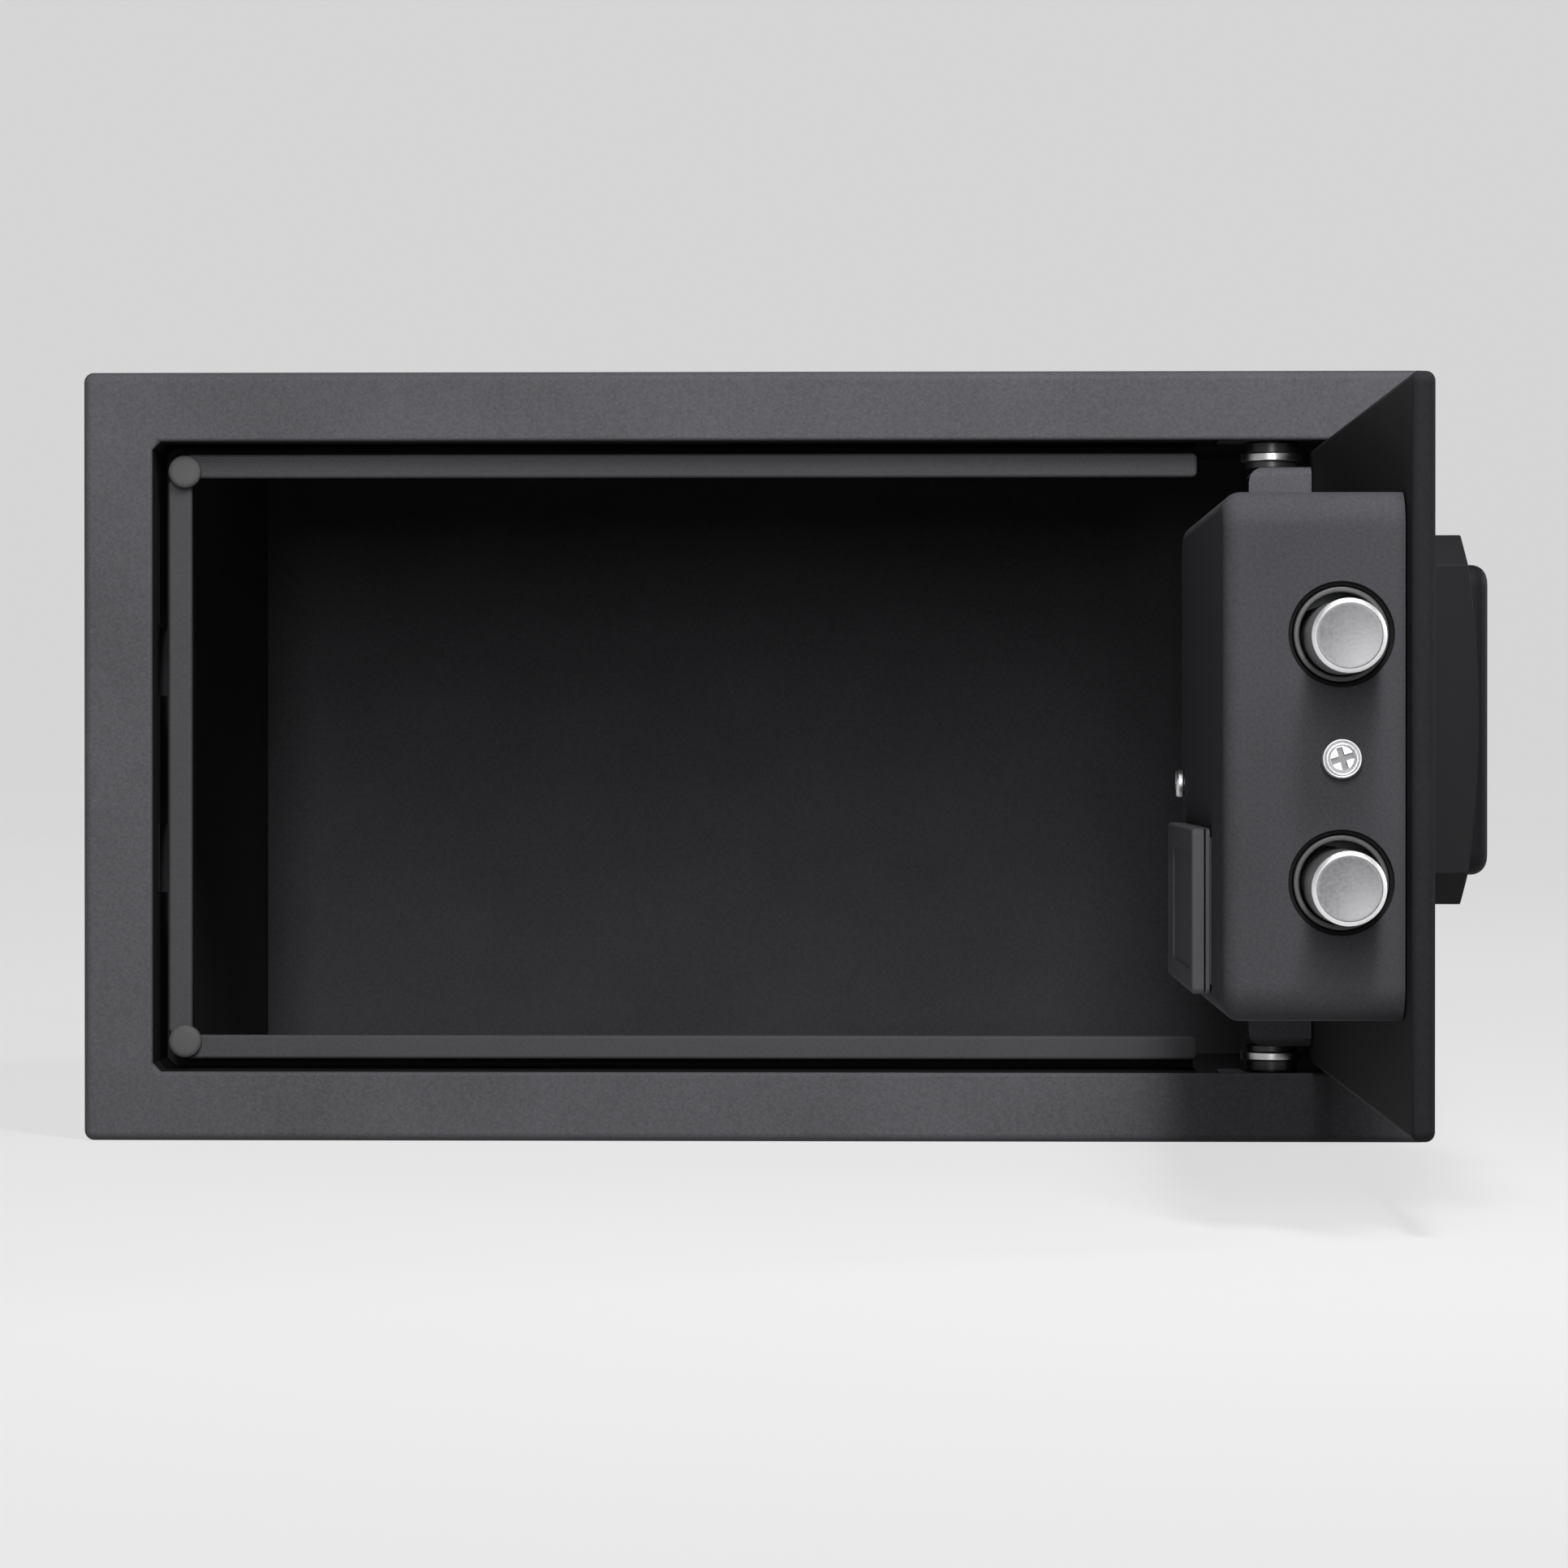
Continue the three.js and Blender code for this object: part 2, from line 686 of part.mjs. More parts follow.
function coverSlab(fromY, inset) {
  const outline = roundedRectangle(
    [coverX0 + inset, coverX1 - inset],
    [-coverHalfHeight + inset, coverHalfHeight - inset],
    coverCornerRadius - inset,
  );
  return slabRoundedBehind(outline, [fromY, coverFaceY - inset], coverEdgeRounding - inset);
}

function lockCover() {
  const shell = coverSlab(onDoorY, 0).subtract(coverSlab(onDoorY - overrun, coverSheet));
  const endWall = [coverX0 - overrun, coverX0 + coverSheet + overrun];
  const boltHoles = guideZs.map((z) => rod('x', endWall, { y: boltY, z }, coverBoltHoleRadius));
  const screwHole = screwRadius + runGap;
  const endHole = rod('x', endWall, { y: boltY, z: -guidesBelow }, screwHole, smallSides);
  const face = [coverUnderY - overrun, coverFaceY + overrun];
  const rear = { x: coverX1 - rearScrewFromEnd, z: -rearScrewBelow };
  const rearHole = rod('y', face, rear, screwHole, smallSides);
  const window = block(
    [lidX0 + lidOverhangX - seatGap, lidX1 - lidOverhangX + seatGap],
    face,
    [lidZ0 + lidOverhangZ - seatGap, lidZ1 - lidOverhangZ + seatGap],
  );
  return shell.subtract(wasm.Manifold.union([...boltHoles, endHole, rearHole, window]));
}

function boltGuidePlate() {
  const reach = guideRadius + seatGap + guidePlateMargin;
  const [topZ, lowZ] = guideZs;
  const upright = block(
    [guidePlateX0, guidePlateX1],
    [onDoorY, boltY + reach],
    [lowZ - reach, topZ + reach],
  );
  const clearOfGuides = guideFlangeRadius + seatGap;
  const foot = block(
    [guidePlateX0, guidePlateX1 + guideFootDepth],
    [onDoorY, onDoorY + guidePlateSheet],
    [lowZ + clearOfGuides, topZ - clearOfGuides],
  );
  const through = [guidePlateX0 - overrun, guidePlateX1 + overrun];
  const holes = guideZs.map((z) => rod('x', through, { y: boltY, z }, guideRadius + seatGap));
  const screwHole = rod('x', through, { y: boltY, z: -guidesBelow }, screwRadius + runGap, smallSides);
  return upright.add(foot).subtract(wasm.Manifold.union([...holes, screwHole]));
}

function boltGuideBush(z) {
  const nose = coverX0 + guideRecess;
  const shoulder = guidePlateX1 + seatGap;
  const flangeEnd = shoulder + guideFlangeHeight;
  const profile = [
    [guideBoreRadius, nose],
    [guideRadius, nose],
    [guideRadius, shoulder],
    [guideFlangeRadius, shoulder],
    [guideFlangeRadius, flangeEnd],
    [guideRadius, flangeEnd],
    [guideRadius, flangeEnd + guideTail],
    [guideBoreRadius, flangeEnd + guideTail],
    [guideBoreRadius, nose],
  ];
  return turned('x', profile, { y: boltY, z });
}

// A pan head screw along Y, its head at zero and its shank going down from there
function panScrew(turn, headRadius, headHeight) {
  const profile = [
    [0, -screwLength],
    [screwRadius, -screwLength],
    [screwRadius, 0],
    [headRadius, 0],
    [headRadius, headHeight / 2],
    [headRadius - headHeight / 4, headHeight * 3 / 4],
    [headRadius / 2, headHeight],
    [0, headHeight],
  ];
  const half = crossLength / 2;
  const thin = crossWidth / 2;
  const deep = [headHeight - crossDepth, headHeight + overrun];
  const cross = block([-half, half], deep, [-thin, thin]).add(block([-thin, thin], deep, [-half, half]));
  const degrees = THREE.MathUtils.radToDeg(turn);
  return turned('y', profile, {}, smallSides).subtract(cross.rotate([0, degrees, 0]));
}

function coverScrewEnd() {
  const place = [coverX0 - seatGap, boltY, -guidesBelow];
  return panScrew(crossAngle, screwHeadRadius, screwHeadHeight).rotate([0, 0, 90]).translate(place);
}

function coverScrewRear() {
  const place = [coverX1 - rearScrewFromEnd, coverFaceY + seatGap, -rearScrewBelow];
  return panScrew(-crossAngle, rearHeadRadius, rearHeadHeight).translate(place);
}

function coverPost() {
  const centre = { x: coverX1 - rearScrewFromEnd, z: -rearScrewBelow };
  const topY = coverUnderY - seatGap;
  const bore = [coverFaceY - screwLength - overrun, topY + overrun];
  return rod('y', [onDoorY, topY], centre, postRadius, smallSides)
    .subtract(rod('y', bore, centre, screwRadius + seatGap, smallSides))
    .intersect(coverSlab(onDoorY - overrun, coverSheet + seatGap));
}

// Battery compartment
function batteryHolder() {
  const x = [lidX0 + lidOverhangX, lidX1 - lidOverhangX];
  const z = [lidZ0 + lidOverhangZ, lidZ1 - lidOverhangZ];
  const flangeTopY = trayFlangeY + trayFlange;
  const tray = block(x, [trayFloorY - trayWall, flangeTopY], z);
  const flangeShape = roundedRectangle([lidX0, lidX1], [lidZ0, lidZ1], lidCornerRadius);
  const flange = slab('y', flangeShape, [trayFlangeY, flangeTopY]);
  const hollow = block(
    [x[0] + trayWall, x[1] - trayWall],
    [trayFloorY, flangeTopY + overrun],
    [z[0] + trayWall, z[1] - trayWall],
  );
  return tray.add(flange).subtract(hollow);
}

function batteryCell(column, row) {
  const x0 = lidX0 + lidOverhangX + trayWall + contactSpace / 4;
  const startX = x0 + column * (cellLength + contactSpace / 2);
  const middleZ = (lidZ0 + lidZ1) / 2;
  const pitch = 2 * cellRadius + cellGap;
  const z = middleZ + (row - 1 / 2) * pitch;
  const pointsRight = row === 0;
  const body = cellLength - cellTipHeight;
  const profile = [
    [0, 0],
    [cellRadius, 0],
    [cellRadius, body],
    [cellTipRadius, body],
    [cellTipRadius, cellLength],
    [0, cellLength],
  ];
  const cell = turned('x', profile, {}, smallSides);
  const facing = pointsRight ? cell : cell.rotate([0, 0, 180]).translate([cellLength, 0, 0]);
  return facing.translate([startX, cellY, z]);
}

function batteryLid() {
  const outline = roundedRectangle([lidX0, lidX1], [lidZ0, lidZ1], lidCornerRadius);
  const lid = slabRoundedBehind(outline, [lidUnderY, lidTopY], lidRounding);
  const grooves = Array.from({ length: gripGrooves }, (_, i) => {
    const x = lidX1 - (i + 2) * 3 * grooveWidth;
    return block(
      [x, x + grooveWidth],
      [lidTopY - grooveDepth, lidTopY + overrun],
      [lidZ0 + (lidZ1 - lidZ0) / 4, lidZ1 - (lidZ1 - lidZ0) / 4],
    );
  });
  return lid.subtract(wasm.Manifold.union(grooves));
}

// Bolt work
function bolt(guideZ) {
  const end = boltEndX;
  const profile = [
    [0, boltTipX],
    [boltRadius - boltChamfer, boltTipX],
    [boltRadius, boltTipX + boltChamfer],
    [boltRadius, end],
    [studRadius, end],
    [studRadius, earX1 + seatGap],
    [0, earX1 + seatGap],
  ];
  return turned('x', profile, { y: boltY, z: guideZ - boltSag });
}

function crankSlot() {
  const across = crankPinRadius + slotSideGap;
  const lowest = knobZ - camCrank - crankPinRadius - slotSideGap;
  const highest = crankPinZ + crankPinRadius + slotSideGap;
  return block(
    [crankPinX - across, crankPinX + across],
    [onDoorY - overrun, carriageTopY + overrun],
    [lowest, highest],
  );
}

function boltCarriage() {
  const [topZ, lowZ] = guideZs.map((z) => z - boltSag);
  const height = [lowZ - boltRadius - carriageMargin, topZ + boltRadius + carriageMargin];
  const bar = block([earX0, barX1], [onDoorY, carriageTopY], height);
  const ear = block([earX0, earX1], [onDoorY, boltY + boltRadius], height);
  const tongueX1 = crankPinX + crankPinRadius + slotSideGap + tonguePastSlot;
  const tongue = block([earX0, tongueX1], [onDoorY, carriageTopY], [-tongueBelow, tongueAbove]);
  const plate = [onDoorY - overrun, carriageTopY + overrun];
  const plungerHoles = [0, boltTravel].map((travel) => {
    const centre = { x: solenoidX - travel, z: solenoidZ };
    return rod('y', plate, centre, plungerRadius + runGap, smallSides);
  });
  const studHoles = [topZ, lowZ].map((z) => {
    const through = [earX0 - overrun, earX1 + overrun];
    return rod('x', through, { y: boltY, z }, studRadius + seatGap, smallSides);
  });
  const cuts = wasm.Manifold.union([crankSlot(), ...plungerHoles, ...studHoles]);
  return wasm.Manifold.union([bar, ear, tongue]).subtract(cuts);
}

function knobSpindle() {
  const centre = { x: knobX, z: knobZ };
  const camY0 = carriageTopY + runGap;
  const camY1 = camY0 + camThickness;
  const shaft = rod('y', [knobBaseY - spindleInKnob, camY1], centre, spindleRadius, smallSides);
  const cam = rod('y', [camY0, camY1], centre, camCrank + crankPinRadius + camMargin);
  const crank = { x: crankPinX, z: crankPinZ };
  const pin = rod('y', [onDoorY + seatGap, camY1], crank, crankPinRadius, smallSides);
  return wasm.Manifold.union([shaft, cam, pin]);
}

function knob() {
  const discY = knobBaseY - knobDiscHeight;
  const profile = [
    [0, discY],
    [knobRadius - knobRounding, discY],
    [knobRadius, discY + knobRounding],
    [knobRadius, knobBaseY],
    [0, knobBaseY],
  ];
  const disc = turned('y', profile, { x: knobX, z: knobZ }, roundSides + roundSides / 2);
  const gripShape = roundedRectangle(
    [knobX - knobGripWidth / 2, knobX + knobGripWidth / 2],
    [knobZ - knobGripLength / 2, knobZ + knobGripLength / 2],
    knobGripWidth / 2 - knobRounding / 2,
  );
  const grip = slabRoundedInFront(gripShape, [knobFaceY, knobBaseY], knobRounding);
  const reach = [knobBaseY - spindleInKnob - seatGap, knobBaseY + overrun];
  const socket = rod('y', reach, { x: knobX, z: knobZ }, spindleRadius + seatGap, smallSides);
  return disc.add(grip).subtract(socket);
}

// Solenoid
function solenoidBody() {
  const x = [solenoidX - solenoidWidth / 2, solenoidX + solenoidWidth / 2];
  const topZ = solenoidZ + solenoidHeight / 2;
  const body = block(x, [solenoidY0, solenoidY1], [solenoidZ - solenoidHeight / 2, topZ]);
  const leg = block(x, [onDoorY, solenoidY1], [topZ, topZ + solenoidSheet]);
  const foot = block(x, [onDoorY, onDoorY + solenoidSheet], [topZ, topZ + solenoidFoot]);
  const reach = [solenoidY0 - overrun, solenoidY1 + overrun];
  const bore = rod('y', reach, { x: solenoidX, z: solenoidZ }, plungerRadius + runGap, smallSides);
  return body.subtract(bore).add(leg).add(foot);
}

function solenoidPlunger() {
  const tipY = carriageTopY + plungerTipGap;
  const centre = { x: solenoidX, z: solenoidZ };
  return rod('y', [tipY, solenoidY1 + plungerTail], centre, plungerRadius, smallSides);
}

// Front moulding
function bezelProfile() {
  const back = onFrontY;
  const h = bezelHalfHeight;
  const front = back - bezelEndThickness;
  const shoulder = h - bezelRounding;
  const crownAt = (z) => front - bezelCrown * (1 - (z / h) ** 2);
  const middle = 2 * crownAt(0) - crownAt(shoulder);
  const shape = new THREE.Shape();
  shape.moveTo(back, -h);
  shape.lineTo(back, h);
  shape.lineTo(front + bezelRounding, h);
  shape.quadraticCurveTo(front, h, crownAt(shoulder), shoulder);
  shape.quadraticCurveTo(middle, 0, crownAt(shoulder), -shoulder);
  shape.quadraticCurveTo(front, -h, front + bezelRounding, -h);
  shape.closePath();
  return shape;
}

function keypadBezel() {
  const middle = [(bezelX0 + bezelX1) / 2, 0, bezelAbove];
  const plan = (inset, depth) => {
    const outline = cutCornerRectangle(bezelLength / 2 - inset, bezelHalfHeight - inset, bezelCornerCut);
    return slab('y', outline, depth).translate(middle);
  };
  const solid = slab('x', bezelProfile(), [bezelX0, bezelX1], bezelEndRounding, crownSteps)
    .translate([0, 0, bezelAbove])
    .intersect(plan(0, [knobFaceY, onFrontY + overrun]));
  const hollow = plan(bezelWall, [onFrontY - bezelEndThickness + bezelWall, onFrontY + overrun]);
  const window = roundedRectangle(
    [podX0 - seatGap, podX1 + seatGap],
    [podZ0 - seatGap, podZ1 + seatGap],
    podCornerRadius + seatGap,
  );
  const through = [knobBaseY - overrun, onFrontY + overrun];
  const spindleHole = rod('y', through, { x: knobX, z: knobZ }, spindleRadius + runGap, smallSides);
  const capHole = rod('y', through, { x: overrideX, z: overrideZ }, capRadius + seatGap);
  return solid
    .subtract(hollow)
    .subtract(slab('y', window, through))
    .subtract(spindleHole)
    .subtract(capHole);
}

function keyPlaces() {
  const middleX = (podX0 + podX1) / 2;
  const middleZ = bezelAbove - keysBelow;
  return Array.from({ length: keyColumns * keyRows }, (_, i) => {
    const column = i % keyColumns;
    const row = Math.floor(i / keyColumns);
    return {
      x: middleX + (column - (keyColumns - 1) / 2) * keyPitchX,
      z: middleZ - (row - (keyRows - 1) / 2) * keyPitchZ,
    };
  });
}

function keyOutline({ x, z }, margin) {
  const w = keyWidth / 2 + margin;
  const h = keyHeight / 2 + margin;
  return roundedRectangle([x - w, x + w], [z - h, z + h], keyCornerRadius + margin);
}

function lensPlaces() {
  const middleX = (podX0 + podX1) / 2;
  return [-1, 1].map((side) => ({ x: middleX + side * lensSpacing / 2, z: podZ1 - lensFromEdge }));
}

function keypadPod() {
  const outline = roundedRectangle([podX0, podX1], [podZ0, podZ1], podCornerRadius);
  const hollow = roundedRectangle(
    [podX0 + podWall, podX1 - podWall],
    [podZ0 + podWall, podZ1 - podWall],
    podCornerRadius - podWall,
  );
  const wall = [podFaceY - overrun, podFaceY + podWall + overrun];
  const keyHoles = keyPlaces().map((place) => slab('y', keyOutline(place, seatGap), wall, 0, keySteps));
  const lensHoles = lensPlaces().map((place) => rod('y', wall, place, lensRadius + seatGap, smallSides));
  return slabRoundedInFront(outline, [podFaceY, onFrontY], podRounding)
    .subtract(slab('y', hollow, [podFaceY + podWall, onFrontY + overrun]))
    .subtract(wasm.Manifold.union([...keyHoles, ...lensHoles]));
}

function keypadBoard() {
  const margin = podWall + seatGap;
  const outline = roundedRectangle(
    [podX0 + margin, podX1 - margin],
    [podZ0 + margin, podZ1 - margin],
    podCornerRadius - podWall,
  );
  return slab('y', outline, [boardY0, boardY0 + boardThickness]);
}

function keypadKey(place) {
  const flangeY = podFaceY + podWall + seatGap;
  const depth = [podFaceY - keyProud, keyFlangeY1];
  const cap = slabRoundedInFront(keyOutline(place, 0), depth, keyProud / 2, keySteps);
  const flange = slab('y', keyOutline(place, keyFlange), [flangeY, keyFlangeY1], 0, keySteps);
  return cap.add(flange);
}

function ledLens(place) {
  return rod('y', [podFaceY - lensProud, boardY0 - seatGap], place, lensRadius, smallSides);
}

// Emergency lock
function overrideBarrel() {
  const centre = { x: overrideX, z: overrideZ };
  const length = [barrelFaceY, doorBackY + barrelInside];
  const bore = [length[0] - overrun, length[1] + overrun];
  return rod('y', length, centre, barrelRadius)
    .subtract(rod('y', bore, centre, cylinderRadius + seatGap, smallSides));
}

function overrideCylinder() {
  const centre = { x: overrideX, z: overrideZ };
  const faceY = barrelFaceY + seatGap;
  const leverY = doorBackY + barrelInside + runGap;
  const core = rod('y', [faceY, leverY + leverThickness], centre, cylinderRadius, smallSides);
  const lever = block(
    [overrideX - leverWidth / 2, overrideX + leverWidth / 2],
    [leverY, leverY + leverThickness],
    [overrideZ - leverLength, overrideZ],
  );
  const keyway = block(
    [overrideX - keywayWidth / 2, overrideX + keywayWidth / 2],
    [faceY - overrun, faceY + keywayDepth],
    [overrideZ - keywayHeight / 2, overrideZ + keywayHeight / 2],
  );
  return core.add(lever).subtract(keyway);
}

function overrideCap() {
  const footY = barrelFaceY - seatGap;
  const faceY = footY - capHeight;
  const profile = [
    [0, faceY],
    [capRadius - capRounding, faceY],
    [capRadius, faceY + capRounding],
    [capRadius, footY],
    [0, footY],
  ];
  return turned('y', profile, { x: overrideX, z: overrideZ });
}

// Leads, each through points chosen by hand
function lead(points) {
  const curve = new THREE.CatmullRomCurve3(points.map((point) => new THREE.Vector3(...point)));
  const section = new THREE.Shape();
  section.absarc(0, 0, leadRadius, 0, 2 * Math.PI, false);
  return solidFrom(new THREE.ExtrudeGeometry(section, {
    steps: cordSteps,
    extrudePath: curve,
    bevelEnabled: false,
    curveSegments: cordSides / 2,
  }));
}

function solenoidLead() {
  const x = leadHoleX + leadHoleRadius / 2;
  const z = leadHoleZ + leadRadius;
  const startY = boardY0 + boardThickness + seatGap;
  const middleY = (solenoidY0 + solenoidY1) / 2;
  const legZ = solenoidZ + solenoidHeight / 2 + solenoidSheet;
  const drop = z - legZ - seatGap;
  return lead([
    [x, startY, z],
    [x, doorFrontY, z],
    [x, doorBackY, z],
    [x, doorBackY + boltRadius, z],
    [solenoidX - leadHoleRadius, middleY, z - drop / 3],
    [solenoidX - leadHoleRadius, middleY, z - drop / 3 * 2],
    [solenoidX - leadHoleRadius, middleY, z - drop],
  ]);
}

function batteryLead() {
  const x = leadHoleX - leadHoleRadius / 2;
  const z = leadHoleZ - leadRadius / 2;
  const startY = boardY0 + boardThickness + seatGap;
  const aside = x - 2 * leadHoleRadius;
  const endZ = lidZ1 - lidOverhangZ + seatGap;
  const drop = z - endZ;
  return lead([
    [x, startY, z],
    [x, doorFrontY, z],
    [x, doorBackY, z],
    [x, doorBackY + boltRadius / 2, z],
    [(x + aside) / 2, boltY, z - drop / 5],
    [aside, solenoidY0, z - drop / 2],
    [aside, cellY, z - drop / 5 * 4],
    [aside, cellY, z - drop],
  ]);
}

// Assembly
function add(group, name, solid, material) {
  const mesh = new THREE.Mesh(geometryFrom(solid), material);
  mesh.name = name;
  group.add(mesh);
}

function addBody(group) {
  add(group, 'body_shell', bodyShell(), materials.bodyPaint);
  add(group, 'back_panel', backPanel(), materials.bodyPaint);
  add(group, 'stop_strip_left', stopStripLeft(), materials.stripPaint);
  for (const [word, sign] of [['top', 1], ['bottom', -1]]) {
    add(group, `stop_strip_${word}`, stopStripLong(sign), materials.stripPaint);
    add(group, `corner_bumper_${word}`, cornerBumper(sign), materials.rubber);
    add(group, `hinge_lug_${word}`, hingeLug(sign), materials.bodyPaint);
    add(group, `hinge_pin_${word}`, hingePin(sign), materials.zinc);
    add(group, `hinge_bush_${word}`, hingeBush(sign), materials.chrome);
  }
  for (const [word, side] of [['left', -1], ['right', 1]]) {
    add(group, `anchor_plug_${word}`, anchorPlug(side), materials.blackPlastic);
  }
}

function addDoor(group) {
  add(group, 'door_panel', doorPanel(), materials.doorPaint);
  add(group, 'hinge_bracket', hingeBracket(), materials.doorPaint);
  add(group, 'lock_cover', lockCover(), materials.doorPaint);
  add(group, 'bolt_guide_plate', boltGuidePlate(), materials.zinc);
  add(group, 'cover_screw_end', coverScrewEnd(), materials.chrome);
  add(group, 'cover_screw_rear', coverScrewRear(), materials.chrome);
  add(group, 'cover_post_rear', coverPost(), materials.zinc);
  for (const [i, word] of ['top', 'bottom'].entries()) {
    add(group, `bolt_guide_bush_${word}`, boltGuideBush(guideZs[i]), materials.doorPaint);
    add(group, `bolt_${word}`, bolt(guideZs[i]), materials.chrome);
  }
  add(group, 'bolt_carriage', boltCarriage(), materials.zinc);
  add(group, 'knob_spindle', knobSpindle(), materials.zinc);
  add(group, 'solenoid_body', solenoidBody(), materials.zinc);
  add(group, 'solenoid_plunger', solenoidPlunger(), materials.zinc);
  add(group, 'solenoid_lead', solenoidLead(), materials.lead);
  add(group, 'battery_lead', batteryLead(), materials.lead);
}

function addBatteries(group) {
  add(group, 'battery_holder', batteryHolder(), materials.lidPlastic);
  add(group, 'battery_lid', batteryLid(), materials.lidPlastic);
  for (const column of [0, 1]) {
    for (const row of [0, 1]) {
      add(group, `battery_cell_${2 * column + row + 1}`, batteryCell(column, row), materials.cellWrap);
    }
  }
}

function addFront(group) {
  add(group, 'keypad_bezel', keypadBezel(), materials.glossPlastic);
  add(group, 'keypad_pod', keypadPod(), materials.blackPlastic);
  add(group, 'keypad_board', keypadBoard(), materials.board);
  add(group, 'knob', knob(), materials.blackPlastic);
  add(group, 'override_barrel', overrideBarrel(), materials.zinc);
  add(group, 'override_cylinder', overrideCylinder(), materials.brass);
  add(group, 'override_cap', overrideCap(), materials.blackPlastic);
  for (const [i, place] of keyPlaces().entries()) {
    add(group, `key_${i + 1}`, keypadKey(place), materials.keyPlastic);
  }
  for (const [i, place] of lensPlaces().entries()) {
    add(group, `led_lens_${i + 1}`, ledLens(place), materials.lens);
  }
}

const safe = new THREE.Group();
const standing = new THREE.Group();
standing.position.z = bodyHeight / 2;
safe.add(standing);
addBody(standing);

const doorSwing = new THREE.Group();
doorSwing.position.set(hingeX, hingeY, 0);
doorSwing.rotation.z = doorOpenAngle;
standing.add(doorSwing);

const door = new THREE.Group();
door.position.set(-hingeX, -hingeY, 0);
doorSwing.add(door);
addDoor(door);
addBatteries(door);
addFront(door);

export default safe;
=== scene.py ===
"""Dresses the safe for its photograph: smooth shapes, finishes, room, lamps and camera."""
import json
import math

import bmesh
import bpy
from mathutils import Matrix, Vector


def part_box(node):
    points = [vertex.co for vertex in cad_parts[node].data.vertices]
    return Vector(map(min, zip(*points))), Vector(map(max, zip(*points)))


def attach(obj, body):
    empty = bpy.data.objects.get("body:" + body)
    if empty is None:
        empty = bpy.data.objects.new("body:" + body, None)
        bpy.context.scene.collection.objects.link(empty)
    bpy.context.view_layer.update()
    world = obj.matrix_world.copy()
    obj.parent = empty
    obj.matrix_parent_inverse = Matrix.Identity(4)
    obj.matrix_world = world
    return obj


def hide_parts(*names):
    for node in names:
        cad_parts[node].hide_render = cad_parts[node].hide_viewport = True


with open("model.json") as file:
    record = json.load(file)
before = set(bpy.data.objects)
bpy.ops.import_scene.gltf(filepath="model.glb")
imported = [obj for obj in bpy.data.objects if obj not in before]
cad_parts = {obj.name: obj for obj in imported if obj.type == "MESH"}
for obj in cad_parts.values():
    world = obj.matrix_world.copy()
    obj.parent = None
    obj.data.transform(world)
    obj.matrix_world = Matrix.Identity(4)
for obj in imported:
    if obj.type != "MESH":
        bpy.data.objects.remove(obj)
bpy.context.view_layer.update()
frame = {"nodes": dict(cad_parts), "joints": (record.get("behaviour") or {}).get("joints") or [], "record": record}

MM = 0.001

# How finely round stretches are drawn
TURN_SIDES = 96
HOLE_SIDES = 64
CORNER_STEPS = 10
ROUND_STEPS = 8
FILLET_STEPS = 4
SHARP_ANGLE = math.radians(35)
MERGE_DISTANCE = 0.001 * MM
FLAT_ANGLE = math.radians(1)
FILLET_REACH = 2.1
EDGE_STEPS = 3
DIGIT_STEPS = 3
DISH_STEPS = 6
# A face looks along an axis if its normal goes this far along it, and slants towards it from SLANT on
END_ON = 0.97
SLANT = 0.3

# Sizes of the real piece that the frame's boxes don't give
OVERRUN = 3 * MM
SEAT_GAP = 0.3 * MM
SHEET = 2 * MM
FLANGE = 18 * MM
BODY_CORNER = 2.6 * MM
BODY_ROUNDING = 2.4 * MM
BODY_BACK_ROUNDING = 0.3 * MM
OPENING_ROUNDING = 1 * MM
OPENING_CUT = 2.2 * MM
FOLD_SHEET = 1.5 * MM
FOLD_INWARD = 6.9 * MM
WINDOW_GAP = 1 * MM
ANCHOR_RADIUS = 5 * MM
STRIP_CORNER = 1.4 * MM
STRIP_ROUNDING = 0.8 * MM
BUMPER_ROUNDING = 0.9 * MM
BUMPER_CROWN = 0.25 * MM
PIN_RADIUS = 3 * MM
PIN_BORE = 3.3 * MM
BUSH_NECK = 1.8 * MM
WASHER_HEIGHT = 2.1 * MM
BARREL_RADIUS = 6.9 * MM
DOOR_CORNER = 2.4 * MM
DOOR_ROUNDING = 2 * MM
DOOR_BACK_ROUNDING = 1.6 * MM
COVER_SHEET = 1.5 * MM
COVER_CORNER = 8 * MM
COVER_ROUNDING = 4 * MM
COVER_HOLE = 11.1 * MM
SCREW_HOLE = 2.3 * MM
BOLT_SAG = 0.7 * MM
BOLT_CHAMFER = 0.9 * MM
BOLT_EDGE = 0.3 * MM
BOLT_DISH = 0.35 * MM
STUD_RADIUS = 3 * MM
STUD_LENGTH = 2.6 * MM
GUIDE_BORE = 8.8 * MM
GUIDE_RADIUS = 10 * MM
GUIDE_FLANGE = 2 * MM
GUIDE_TAIL = 3 * MM
GUIDE_EDGE = 0.35 * MM
SCREW_SHANK = 1.9 * MM
SCREW_LENGTH = 8 * MM
SCREW_RIM = 0.7 * MM
SCREW_SIDE = 0.7  # shares of the head's height
SCREW_DIP = 0.8
CROSS_TOP = 0.75
CROSS_WIDTH = 1.25 * MM
CROSS_LENGTH = 4.8 * MM
CROSS_DEPTH = 1.2 * MM
CROSS_TURN = math.radians(17)
LID_CORNER = 1.6 * MM
LID_ROUNDING = 0.7 * MM
LID_GROOVE = 1.2 * MM
LID_GROOVE_DEPTH = 0.6 * MM
LID_GROOVES = 4
LID_GROOVE_PITCH = 3 * LID_GROOVE
LID_PLAIN_PITCHES = 2
LID_PANEL_INSET = 5 * MM
LID_PANEL_DEPTH = 0.35 * MM
BEZEL_ROUNDING = 1.8 * MM
BEZEL_CORNER_CUT = 6.8 * MM
BEZEL_CROWN = 3.2 * MM
BEZEL_WALL = 2.5 * MM
BEZEL_POINTS = 40
